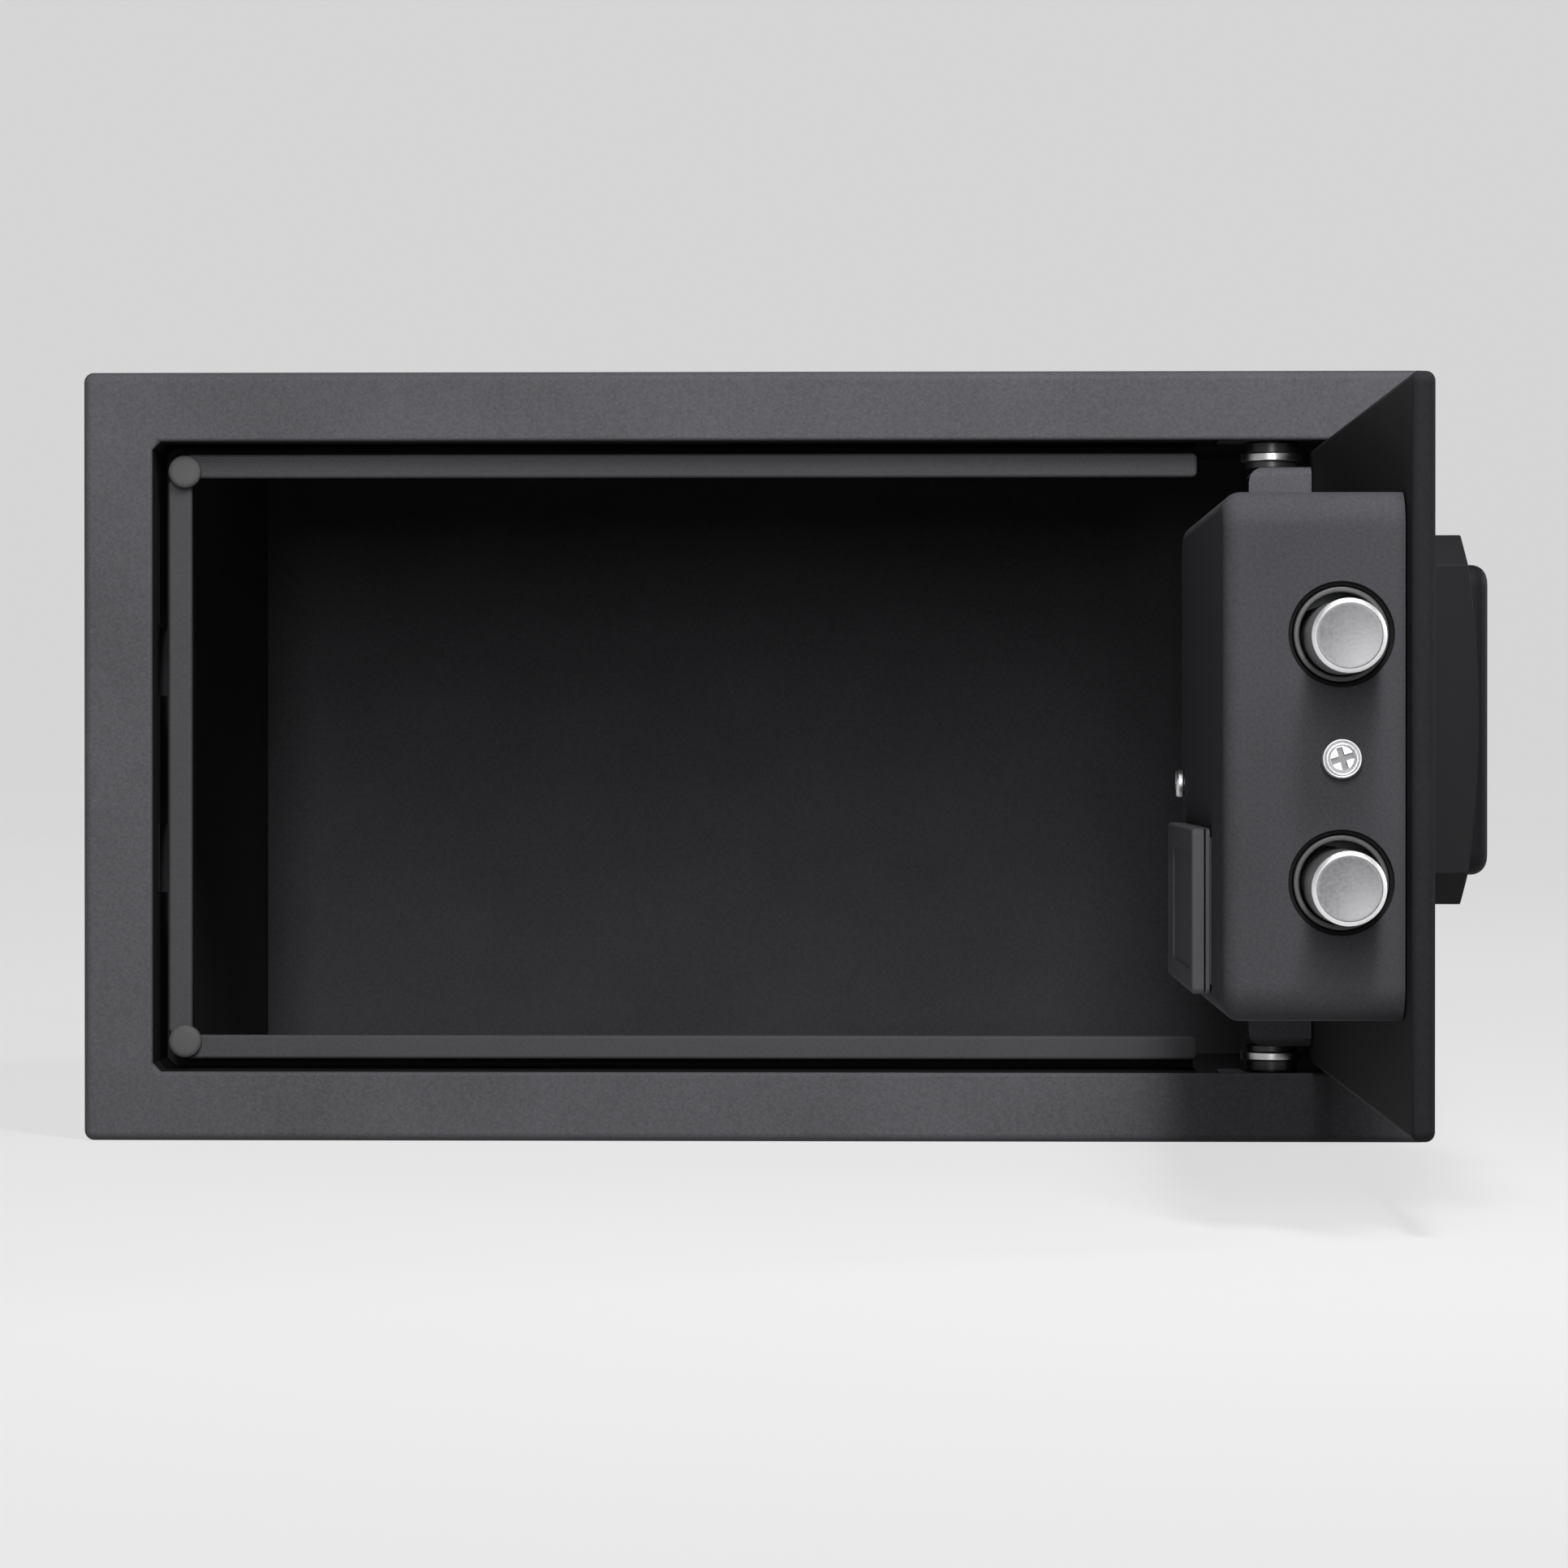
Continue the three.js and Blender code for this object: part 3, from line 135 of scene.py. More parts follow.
POD_CORNER = 5 * MM
POD_ROUNDING = 3.4 * MM
POD_WALL = 2.2 * MM
KEY_CORNER = 2 * MM
KEY_ROUNDING = 0.3 * MM
KEY_FLANGE = 0.9 * MM
KEY_FLANGE_THICKNESS = 1.2 * MM
DIGIT_SIZE = 5.4 * MM
DIGIT_RELIEF = 0.06 * MM
LENS_HOLE = 1.9 * MM
LENS_DOME = 0.5  # shares of the lens's radius
LENS_EDGE = 1 / 3
KNOB_DISC_HEIGHT = 4 * MM
KNOB_GRIP_WIDTH = 11 * MM
KNOB_GRIP_LENGTH = 35 * MM
KNOB_GRIP_END = 0.9  # its corners' radius as a share of half its width
KNOB_ROUNDING = 1.6 * MM
KNOB_SOCKET = 4.3 * MM
KNOB_SOCKET_DEPTH = 6.3 * MM
KNOB_MARK_WIDTH = 1 * MM
KNOB_MARK_LENGTH = 8 * MM
KNOB_MARK_DEPTH = 0.3 * MM
SPINDLE_HOLE = 4.4 * MM
LOCK_HOLE = 8.3 * MM
CAP_HOLE = 10.3 * MM
LEAD_HOLE = 4 * MM
CYLINDER_BORE = 5.3 * MM
CELL_COUNT = 4
CELL_TIP_RADIUS = 2.6 * MM
CELL_TIP_HEIGHT = 1 * MM
CELL_EDGE = 0.6 * MM
SOFT_EDGE = 0.3 * MM
FINE_EDGE = 0.15 * MM

DIGITS = ("1", "2", "3", "4", "5", "6", "7", "8", "9", "*", "0", "#")

# The camera stands where the photograph was taken from
IMAGE_SIDE = 1932
FOCAL_PIXELS = 6522
SENSOR = 36
CAMERA_PLACE = Vector((41.4, -1563, 100)) * MM
CAMERA_TARGET = Vector((7.5, -190, 92.9)) * MM
CLIP_START = 0.05
CLIP_END = 20

# Room and lamps, in metres and watts
FLOOR_RADIUS = 10.0
SWEEP_RADIUS = 2.0
SWEEP_HEIGHT = 5.0
FLOOR_COLOUR = (0.2, 0.2, 0.2)
FLOOR_GLOW = 0.66
FLOOR_ROUGHNESS = 0.9
FLOOR_SPECULAR = 0.1
KEY_PLACE = (0.04, -2.82, 1.06)
KEY_TARGET = (0, -0.19, 0.1)
KEY_WIDTH = 0.25
KEY_HEIGHT = 2.0
KEY_POWER = 53
TOP_PLACE = (0.14, -0.62, 0.56)
TOP_TARGET = (0.02, -0.19, 0.12)
TOP_WIDTH = 0.06
TOP_HEIGHT = 0.3
TOP_POWER = 2.4
FILL_SIDE = 0.7
FILL_RIGHT = (2.2, 0.5, 0.9)
FILL_RIGHT_POWER = 20
FILL_REAR = (-2.9, 4.0, 0.54)
FILL_REAR_POWER = 18
SKY_STRENGTH = 0.012

# The door is stored open, and its pieces are drawn shut
JOINTS = {joint["name"]: joint for joint in frame["joints"]}
HINGE = Vector(JOINTS["door_swing"]["pos_m"])
OPENING = (
    Matrix.Translation(HINGE) @ Matrix.Rotation(math.pi / 2, 4, "Z") @ Matrix.Translation(-HINGE)
)
SHUTTING = OPENING.inverted()

# The noise in every finish
NOISE_LOW = 0.3
NOISE_HIGH = 0.7
NOISE_ROUGHNESS = 0.55
FINE_DETAIL = 3.0
CLOUD_DETAIL = 2.0
CLOUD_SHARE = 0.35
COAT_ROUGHNESS = 0.08

BODY_OF = {
    node: body
    for body, nodes in frame["record"]["behaviour"]["bodies"].items()
    for node in nodes
}
SLOT_OF = {part["node"]: part["material_slot"] for part in frame["record"]["subparts"]}
REPLACED = set()


# Finishes
def node(tree, kind, **values):
    made = tree.nodes.new(kind)
    for key, value in values.items():
        if key in made.inputs:
            made.inputs[key].default_value = value
        else:
            setattr(made, key, value)
    return made


def noise_of(tree, coordinates, size, detail=FINE_DETAIL, stretch=(1, 1, 1)):
    """Noise whose lumps are about that size, in metres."""
    mapping = node(tree, "ShaderNodeMapping")
    mapping.inputs["Scale"].default_value = [axis / size for axis in stretch]
    tree.links.new(coordinates, mapping.inputs["Vector"])
    noise = node(tree, "ShaderNodeTexNoise", Scale=1.0, Detail=detail, Roughness=NOISE_ROUGHNESS)
    tree.links.new(mapping.outputs["Vector"], noise.inputs["Vector"])
    return noise.outputs["Fac"]


def blend_colours(tree, factor, low, high):
    ramp = node(tree, "ShaderNodeValToRGB")
    ramp.color_ramp.elements[0].position = NOISE_LOW
    ramp.color_ramp.elements[1].position = NOISE_HIGH
    ramp.color_ramp.elements[0].color = (*low, 1)
    ramp.color_ramp.elements[1].color = (*high, 1)
    tree.links.new(factor, ramp.inputs["Fac"])
    return ramp.outputs["Color"]


def spread(tree, factor, low, high):
    remap = node(tree, "ShaderNodeMapRange")
    remap.inputs["From Min"].default_value = NOISE_LOW
    remap.inputs["From Max"].default_value = NOISE_HIGH
    remap.inputs["To Min"].default_value = low
    remap.inputs["To Max"].default_value = high
    tree.links.new(factor, remap.inputs["Value"])
    return remap.outputs["Result"]


def finish(
    name,
    colour,
    roughness,
    metallic=0.0,
    grain=0.8 * MM,
    depth=0.02 * MM,
    mottle=0.08,
    cloud=40 * MM,
    stretch=(1, 1, 1),
    specular=0.5,
    coat=0.0,
):
    """A surface with grain in its colour, height and gloss. Roughness is a low and a high value."""
    material = bpy.data.materials.new(name)
    material.use_nodes = True
    tree = material.node_tree
    shader = tree.nodes["Principled BSDF"]
    place = node(tree, "ShaderNodeTexCoord").outputs["Object"]
    fine = noise_of(tree, place, grain, stretch=stretch)
    broad = noise_of(tree, place, cloud, detail=CLOUD_DETAIL)
    both = node(tree, "ShaderNodeMix", data_type="FLOAT")
    both.inputs["Factor"].default_value = CLOUD_SHARE
    tree.links.new(fine, both.inputs["A"])
    tree.links.new(broad, both.inputs["B"])
    low = [channel * (1 - mottle) for channel in colour]
    high = [channel * (1 + mottle) for channel in colour]
    mixed = both.outputs["Result"]
    tree.links.new(blend_colours(tree, mixed, low, high), shader.inputs["Base Color"])
    tree.links.new(spread(tree, mixed, *roughness), shader.inputs["Roughness"])
    bump = node(tree, "ShaderNodeBump", Strength=1.0, Distance=depth)
    tree.links.new(fine, bump.inputs["Height"])
    tree.links.new(bump.outputs["Normal"], shader.inputs["Normal"])
    shader.inputs["Metallic"].default_value = metallic
    shader.inputs["Specular IOR Level"].default_value = specular
    shader.inputs["Coat Weight"].default_value = coat
    shader.inputs["Coat Roughness"].default_value = COAT_ROUGHNESS
    return material


FINISHES = {
    "powder_coat": finish(
        "powder_coat", (0.092, 0.0905, 0.099), (0.6, 0.72), grain=0.7 * MM, depth=0.06 * MM, mottle=0.26,
        specular=0.1,
    ),
    "strip_paint": finish(
        "strip_paint", (0.06, 0.059, 0.0643), (0.6, 0.7), grain=0.7 * MM, depth=0.06 * MM, mottle=0.16,
        specular=0.2,
    ),
    "buffer_rubber": finish(
        "buffer_rubber", (0.084, 0.084, 0.086), (0.72, 0.85), grain=0.5 * MM, depth=0.02 * MM, mottle=0.07,
    ),
    "chrome_plate": finish(
        "chrome_plate", (0.4, 0.4, 0.41), (0.34, 0.46), 1.0, grain=0.35 * MM, depth=0.008 * MM,
        mottle=0.06, cloud=4 * MM,
    ),
    "zinc_steel": finish(
        "zinc_steel", (0.3, 0.31, 0.32), (0.42, 0.56), 1.0, grain=0.4 * MM, depth=0.01 * MM,
        mottle=0.1, stretch=(1, 0.1, 1),
    ),
    "black_plastic": finish(
        "black_plastic", (0.009, 0.009, 0.0105), (0.55, 0.65), grain=0.4 * MM, depth=0.004 * MM,
        specular=0.1,
    ),
    "grey_plastic": finish(
        "grey_plastic", (0.1, 0.098, 0.108), (0.55, 0.65), grain=0.5 * MM, depth=0.004 * MM,
        specular=0.08,
    ),
    "bezel_gloss": finish(
        "bezel_gloss", (0.011, 0.011, 0.0124), (0.5, 0.6), grain=1.5 * MM, depth=0.004 * MM,
        specular=0.1,
    ),
    "key_plastic": finish(
        "key_plastic", (0.05, 0.05, 0.053), (0.45, 0.55), grain=0.4 * MM, depth=0.01 * MM,
    ),
    "led_lens": finish(
        "led_lens", (0.06, 0.22, 0.1), (0.08, 0.14), grain=2 * MM, depth=0.002 * MM, coat=0.5,
    ),
    "circuit_board": finish(
        "circuit_board", (0.02, 0.12, 0.045), (0.3, 0.42), grain=1.2 * MM, depth=0.01 * MM, mottle=0.2,
    ),
    "cell_wrap": finish(
        "cell_wrap", (0.05, 0.05, 0.055), (0.25, 0.35), grain=1 * MM, depth=0.004 * MM, coat=0.3,
    ),
    "lock_brass": finish(
        "lock_brass", (0.6, 0.44, 0.2), (0.25, 0.38), 1.0, grain=0.3 * MM, depth=0.008 * MM,
    ),
    "lead_sheath": finish(
        "lead_sheath", (0.02, 0.02, 0.02), (0.4, 0.5), grain=0.5 * MM, depth=0.008 * MM,
    ),
}
# Painted shade: the door panel is the same powder coat as the body, drawn in a much darker copy of it
DOOR_PAINTED_SHADE = finish(
    "door_coat_painted_shade", (0.022, 0.0217, 0.0238), (0.62, 0.74), grain=0.7 * MM, depth=0.02 * MM, mottle=0.2,
    specular=0.03,
)
# Painted shade: the lock cover is the same powder coat, drawn in a darker copy of it
COVER_PAINTED_SHADE = finish(
    "cover_coat_painted_shade", (0.061, 0.06, 0.0662), (0.62, 0.74), grain=0.7 * MM, depth=0.02 * MM, mottle=0.2,
    specular=0.03,
)
BACK_FINISH = finish(
    "inner_coat", (0.095, 0.0935, 0.1025), (0.62, 0.74), grain=0.7 * MM, depth=0.04 * MM, mottle=0.2,
    specular=0.05,
)
# Painted shade: near black on the faces in the recess behind the frame's flange, where shade falls
RECESS_PAINTED_SHADE = finish(
    "recess_painted_shade", (0.012, 0.012, 0.013), (0.7, 0.8), grain=0.7 * MM, depth=0.05 * MM, specular=0.1
)
BOLT_END_FINISH = finish(
    "bolt_end", (0.155, 0.155, 0.159), (0.36, 0.5), 1.0, grain=0.8 * MM, depth=0.02 * MM, mottle=0.26,
    cloud=4 * MM,
)
# Painted highlight: a bright ring on the bolt's chamfer
BOLT_RIM_PAINTED_HIGHLIGHT = finish(
    "bolt_rim_painted_highlight", (0.85, 0.85, 0.86), (0.5, 0.6), 1.0, grain=0.5 * MM, depth=0.008 * MM
)
SCREW_FINISH = finish(
    "screw_steel", (0.55, 0.55, 0.56), (0.34, 0.46), 1.0, grain=0.4 * MM, depth=0.008 * MM, mottle=0.12
)
# Painted shade: the cross recess in the screw heads, drawn darker than the screw
CROSS_PAINTED_SHADE = finish(
    "screw_cross_painted_shade", (0.16, 0.16, 0.163), (0.4, 0.5), 1.0, grain=0.4 * MM, depth=0.008 * MM
)
BUSH_FINISH = finish("hinge_bush", (0.02, 0.02, 0.022), (0.3, 0.4), grain=0.4 * MM, depth=0.006 * MM)
WASHER_FINISH = finish(
    "washer", (0.5, 0.5, 0.51), (0.28, 0.38), 1.0, grain=0.4 * MM, depth=0.004 * MM
)
GUIDE_FINISH = finish(
    "guide_bush", (0.05, 0.05, 0.052), (0.35, 0.45), grain=0.4 * MM, depth=0.006 * MM, specular=0.4
)
# Painted shade: near black on the guide bush's flange and the guide plate, seen through the gap round the bush
FLANGE_PAINTED_SHADE = finish(
    "guide_flange_painted_shade", (0.004, 0.004, 0.004), (0.5, 0.6), grain=0.4 * MM, depth=0.006 * MM, specular=0.1
)
DIGIT_FINISH = finish("digit_paint", (0.55, 0.55, 0.55), (0.5, 0.6), grain=0.3 * MM, depth=0.004 * MM)
CELL_END_FINISH = finish(
    "cell_end", (0.6, 0.6, 0.6), (0.25, 0.35), 1.0, grain=0.3 * MM, depth=0.004 * MM
)


# Places, taken from the frame
def ranges(name):
    """The (low, high) pairs of a node along X, Y and Z, with the door shut if it is on the door."""
    corners = list(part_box(name))
    if BODY_OF[name] != "body":
        corners = [SHUTTING @ corner for corner in corners]
    return [tuple(sorted((corners[0][axis], corners[1][axis]))) for axis in range(3)]


def middle(pair):
    return (pair[0] + pair[1]) / 2


def inset(pair, by):
    return (pair[0] + by, pair[1] - by)


# Meshes
def new_object(name, bm):
    bmesh.ops.remove_doubles(bm, verts=bm.verts, dist=MERGE_DISTANCE)
    bmesh.ops.recalc_face_normals(bm, faces=bm.faces)
    mesh = bpy.data.meshes.new(name)
    bm.to_mesh(mesh)
    bm.free()
    made = bpy.data.objects.new(name, mesh)
    bpy.context.scene.collection.objects.link(made)
    return made


def bridge(bm, low, high):
    """Faces between two rings of vertices, of which one may be a single point."""
    count = max(len(low), len(high))
    for i in range(count):
        j = (i + 1) % count
        corners = [low[i % len(low)], low[j % len(low)], high[j % len(high)], high[i % len(high)]]
        corners = [v for n, v in enumerate(corners) if v not in corners[:n]]
        if len(corners) > 2:
            bm.faces.new(corners)


def loft(name, loops):
    """A closed solid through loops of points, flat at both ends."""
    bm = bmesh.new()
    rings = [[bm.verts.new(point) for point in loop] for loop in loops]
    for low, high in zip(rings, rings[1:]):
        bridge(bm, low, high)
    bm.faces.new(rings[0])
    bm.faces.new(rings[-1])
    return new_object(name, bm)


def block(name, x, y, z):
    loops = [[(x[a], y[b], z[c]) for a, c in ((0, 0), (1, 0), (1, 1), (0, 1))] for b in (0, 1)]
    return loft(name, loops)


def rounded_rectangle(x, z, radius):
    corners = (
        (x[1] - radius, z[0] + radius, -90),
        (x[1] - radius, z[1] - radius, 0),
        (x[0] + radius, z[1] - radius, 90),
        (x[0] + radius, z[0] + radius, 180),
    )
    points = []
    for cx, cz, start in corners:
        for step in range(CORNER_STEPS + 1):
            angle = math.radians(start + 90 * step / CORNER_STEPS)
            points.append((cx + radius * math.cos(angle), cz + radius * math.sin(angle)))
    return points


def cut_corner_rectangle(x, z, corner):
    return (
        (x[0] + corner, z[0]), (x[1] - corner, z[0]), (x[1], z[0] + corner), (x[1], z[1] - corner),
        (x[1] - corner, z[1]), (x[0] + corner, z[1]), (x[0], z[1] - corner), (x[0], z[0] + corner),
    )


def prism(name, outline, y):
    return loft(name, [[(px, level, pz) for px, pz in outline] for level in y])


def rounded_levels(y, front, back):
    """Pairs of Y and inset that round a slab's front and back edges."""
    turns = [math.pi / 2 * step / ROUND_STEPS for step in range(ROUND_STEPS + 1)]
    levels = [(y[0], 0)] if not front else [
        (y[0] + front * (1 - math.cos(a)), front * (1 - math.sin(a))) for a in turns
    ]
    levels += [(y[1], 0)] if not back else [
        (y[1] - back * (1 - math.cos(a)), back * (1 - math.sin(a))) for a in reversed(turns)
    ]
    return levels


def slab(name, x, y, z, radius, front=0, back=0):
    """A plate in the XZ plane with rounded corners, its front and back edges rounded."""
    least = MERGE_DISTANCE * 10
    loops = []
    for level, by in rounded_levels(y, front, back):
        outline = rounded_rectangle(inset(x, by), inset(z, by), max(radius - by, least))
        loops.append([(px, level, pz) for px, pz in outline])
    return loft(name, loops)


def on_axis(axis, centre, across, up, along):
    offsets = {"x": (along, across, up), "y": (across, along, up), "z": (across, up, along)}
    return Vector(offsets[axis]) + Vector(centre)


def softened(profile, radius):
    """A profile with its inner corners rounded off."""
    points = [Vector(point) for point in profile]
    result = [points[0]]
    for before, corner, after in zip(points, points[1:], points[2:]):
        into, out = corner - before, after - corner
        reach = min(radius, into.length / FILLET_REACH, out.length / FILLET_REACH)
        start, end = corner - into.normalized() * reach, corner + out.normalized() * reach
        for step in range(FILLET_STEPS + 1):
            t = step / FILLET_STEPS
            result.append(start * (1 - t) ** 2 + corner * 2 * t * (1 - t) + end * t * t)
    return result + [points[-1]]


def turned(name, profile, axis, centre, edge=0, sides=TURN_SIDES):
    """A lathe shape. The profile is pairs of radius and place along the axis."""
    bm = bmesh.new()
    rings = []
    for radius, along in softened(profile, edge) if edge else profile:
        count = sides if radius > MERGE_DISTANCE else 1
        ring = []
        for i in range(count):
            angle = 2 * math.pi * i / count
            across, up = radius * math.cos(angle), radius * math.sin(angle)
            ring.append(bm.verts.new(on_axis(axis, centre, across, up, along)))
        rings.append(ring)
    for low, high in zip(rings, rings[1:]):
        bridge(bm, low, high)
    return new_object(name, bm)


def rod(name, axis, centre, radius, along):
    profile = [(0, along[0]), (radius, along[0]), (radius, along[1]), (0, along[1])]
    return turned(name, profile, axis, centre, sides=HOLE_SIDES)


def drop(thing):
    mesh = thing.data
    bpy.data.objects.remove(thing)
    bpy.data.meshes.remove(mesh)


def settle(thing):
    """Turns modifiers into mesh."""
    graph = bpy.context.evaluated_depsgraph_get()
    mesh = bpy.data.meshes.new_from_object(thing.evaluated_get(graph))
    old = thing.data
    thing.modifiers.clear()
    thing.data = mesh
    mesh.name = thing.name
    bpy.data.meshes.remove(old)


def combined(target, others, operation):
    for other in others:
        change = target.modifiers.new(operation, "BOOLEAN")
        change.operation = operation
        change.solver = "EXACT"
        change.object = other
        bpy.context.view_layer.update()
        settle(target)
        drop(other)
    return target


def cut(target, *cutters):
    return combined(target, cutters, "DIFFERENCE")


def joined(target, *others):
    return combined(target, others, "UNION")


def dress(thing, *names, edge=0, finishes=(), pick=None):
    """Places a piece on its body in the stead of its nodes, with their finish.

    Where there are several finishes, pick gives the number of a face's own.
    """
    first = names[0]
    slots = [int(pick(face)) if pick else face.material_index for face in thing.data.polygons]
    if BODY_OF[first] != "body":
        thing.data.transform(OPENING)
    thing.data.materials.clear()
    for material in finishes or [FINISHES[SLOT_OF[first]]]:
        thing.data.materials.append(material)
    thing.data.polygons.foreach_set("material_index", slots)
    thing.data.shade_smooth()
    thing.data.set_sharp_from_angle(angle=SHARP_ANGLE)
    if edge:
        bevel = thing.modifiers.new("edges", "BEVEL")
        bevel.width = edge
        bevel.segments = EDGE_STEPS
        bevel.limit_method = "ANGLE"
        bevel.angle_limit = SHARP_ANGLE
        bevel.harden_normals = True
    else:
        normals = thing.modifiers.new("normals", "WEIGHTED_NORMAL")
        normals.keep_sharp = True
    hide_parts(*names)
    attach(thing, BODY_OF[first])
    REPLACED.update(names)
    return thing


# Body
def opening_cutter(x, y, z, depth):
    """The doorway's outline, with cut corners, flared where the flange is rounded."""
    loops = []
    r = OPENING_ROUNDING
    levels = [(y - OVERRUN, r)]
    for step in range(ROUND_STEPS + 1):
        angle = math.pi / 2 * step / ROUND_STEPS
        levels.append((y + r * (1 - math.cos(angle)), r * (1 - math.sin(angle))))
    levels.append((depth, 0))
    for level, by in levels:
        outline = cut_corner_rectangle(inset(x, -by), inset(z, -by), OPENING_CUT)
        loops.append([(px, level, pz) for px, pz in outline])
    return loft("doorway", loops)


def strip_fold(x, z, y):
    """Sheet that closes the groove behind the strips and comes forward again to carry them."""
    end = ranges("stop_strip_top")[0][1]
    inner_x, inner_z = x[0] + FOLD_INWARD, inset(z, FOLD_INWARD)
    sheets = []
    for sheet, depth in ((FOLD_INWARD + SHEET, (y[1] - FOLD_SHEET, y[1])), (FOLD_SHEET, y)):
        fold = block("fold", (inner_x - sheet, end), depth, inset(inner_z, -sheet))
        inner = block("inner", (inner_x, end + OVERRUN), inset(depth, -OVERRUN), inner_z)
        sheets.append(cut(fold, inner))
    return sheets


def body_shell():
    x, y, z = ranges("body_shell")
    opening_x, opening_z = inset(x, FLANGE), inset(z, FLANGE)
    strip = ranges("stop_strip_top")
    fold_front = strip[1][1] + SEAT_GAP
    lip_back = ranges("bolt_top")[1][1] + WINDOW_GAP + SEAT_GAP + FOLD_SHEET
    shell = slab("body_shell", x, y, z, BODY_CORNER, BODY_ROUNDING, BODY_BACK_ROUNDING)
    cut(shell, block("cavity", inset(x, SHEET), (y[0] + SHEET, y[1] + OVERRUN), inset(z, SHEET)))
    lip_x = (opening_x[0] - SHEET, strip[0][1])
    joined(shell, block("lip", lip_x, (y[0] + SHEET / 2, lip_back), inset(opening_z, -SHEET)))
    cut(shell, opening_cutter(opening_x, y[0], opening_z, lip_back + OVERRUN))
    joined(shell, *strip_fold(opening_x, opening_z, (fold_front, lip_back)))
    windows = []
    for name in ("bolt_top", "bolt_bottom"):
        _, bolt_y, bolt_z = ranges(name)
        low = (bolt_z[0] - WINDOW_GAP, bolt_z[1] + WINDOW_GAP + BOLT_SAG)
        across = (opening_x[0] - 2 * SHEET, opening_x[0] + FOLD_INWARD + OVERRUN)
        windows.append(block("window", across, inset(bolt_y, -WINDOW_GAP), low))
    cut(shell, *windows)
    holes = []
    for name in ("anchor_plug_left", "anchor_plug_right"):
        plug = ranges(name)
        centre = (middle(plug[0]), middle(plug[1]), 0)
        through = (z[0] - OVERRUN, z[0] + SHEET + OVERRUN)
        holes.append(rod("hole", "z", centre, ANCHOR_RADIUS, through))
    cut(shell, *holes)
    # Faces inside this box, in the recess behind the flange, get painted shade
    recess = [
        inset(opening_x, -SHEET / 2),
        (y[0] + SHEET, lip_back + SHEET),
        inset(opening_z, -SHEET / 2),
    ]
    dress(
        shell,
        "body_shell",
        finishes=(FINISHES["powder_coat"], RECESS_PAINTED_SHADE),
        pick=lambda face: all(low < at < high for at, (low, high) in zip(face.center, recess)),
    )
    x, y, z = ranges("back_panel")
    plate = slab("back_panel", x, y, z, BODY_CORNER, BODY_BACK_ROUNDING, BODY_BACK_ROUNDING)
    dress(plate, "back_panel", finishes=(BACK_FINISH,))


def stop_strips():
    for name in ("stop_strip_left", "stop_strip_top", "stop_strip_bottom"):
        x, y, z = ranges(name)
        dress(slab(name, x, y, z, STRIP_CORNER, STRIP_ROUNDING, 0), name)


def bumpers():
    for name in ("corner_bumper_top", "corner_bumper_bottom"):
        x, y, z = ranges(name)
        radius = (x[1] - x[0]) / 2
        profile = [
            (0, y[0]),
            (radius - BUMPER_ROUNDING, y[0] + BUMPER_CROWN),
            (radius, y[0] + BUMPER_ROUNDING),
            (radius, y[1]),
            (0, y[1]),
        ]
        centre = (middle(x), 0, middle(z))
        dress(turned(name, profile, "y", centre, edge=BUMPER_ROUNDING / 2), name)


def hinges():
    for word, sign in (("top", 1), ("bottom", -1)):
        name = "hinge_bush_" + word
        x, y, z = ranges(name)
        centre = (middle(x), middle(y), 0)
        foot, top = (z[0], z[1]) if sign > 0 else (z[1], z[0])
        washer = (x[1] - x[0]) / 2
        neck = foot + sign * BUSH_NECK
        shoulder = neck + sign * WASHER_HEIGHT
        profile = [
            (PIN_BORE, foot),
            (BARREL_RADIUS, foot),
            (BARREL_RADIUS, neck),
            (washer, neck),
            (washer, shoulder),
            (BARREL_RADIUS, shoulder),
            (BARREL_RADIUS, top),
            (PIN_BORE, top),
            (PIN_BORE, foot),
        ]
        washer_z = sorted((neck, shoulder))
        dress(
            turned(name, profile, "z", centre, edge=FINE_EDGE * 2),
            name,
            finishes=(BUSH_FINISH, WASHER_FINISH),
            pick=lambda face: washer_z[0] < face.center.z < washer_z[1],
        )
        name = "hinge_pin_" + word
        _, y, z = ranges(name)
        foot, top = (z[0], z[1]) if sign > 0 else (z[1], z[0])
        head = (y[1] - y[0]) / 2
        collar = top - sign * SHEET
        profile = [
            (0, foot), (PIN_RADIUS, foot), (PIN_RADIUS, collar), (head, collar), (head, top), (0, top)
        ]
        dress(turned(name, profile, "z", centre, edge=FINE_EDGE * 2), name)


# Door and the cover on it
def axis_centre(name):
    """X and Z of the middle of a door piece, for turning along Y."""
    x, _, z = ranges(name)
    return (middle(x), 0, middle(z))


def door_panel():
    x, y, z = ranges("door_panel")
    panel = slab("door_panel", x, y, z, DOOR_CORNER, DOOR_ROUNDING, DOOR_BACK_ROUNDING)
    through = (y[0] - OVERRUN, y[1] + OVERRUN)
    lead_x, _, lead_z = ranges("battery_lead")
    lead = (lead_x[1] + LEAD_HOLE / 2 - SEAT_GAP, 0, lead_z[1])
    cut(
        panel,
        rod("hole", "y", axis_centre("knob"), SPINDLE_HOLE, through),
        rod("hole", "y", axis_centre("override_barrel"), LOCK_HOLE, through),
        rod("hole", "y", lead, LEAD_HOLE, through),
    )
    # The panel's darker coat is painted shade
    dress(panel, "door_panel", finishes=(DOOR_PAINTED_SHADE,))


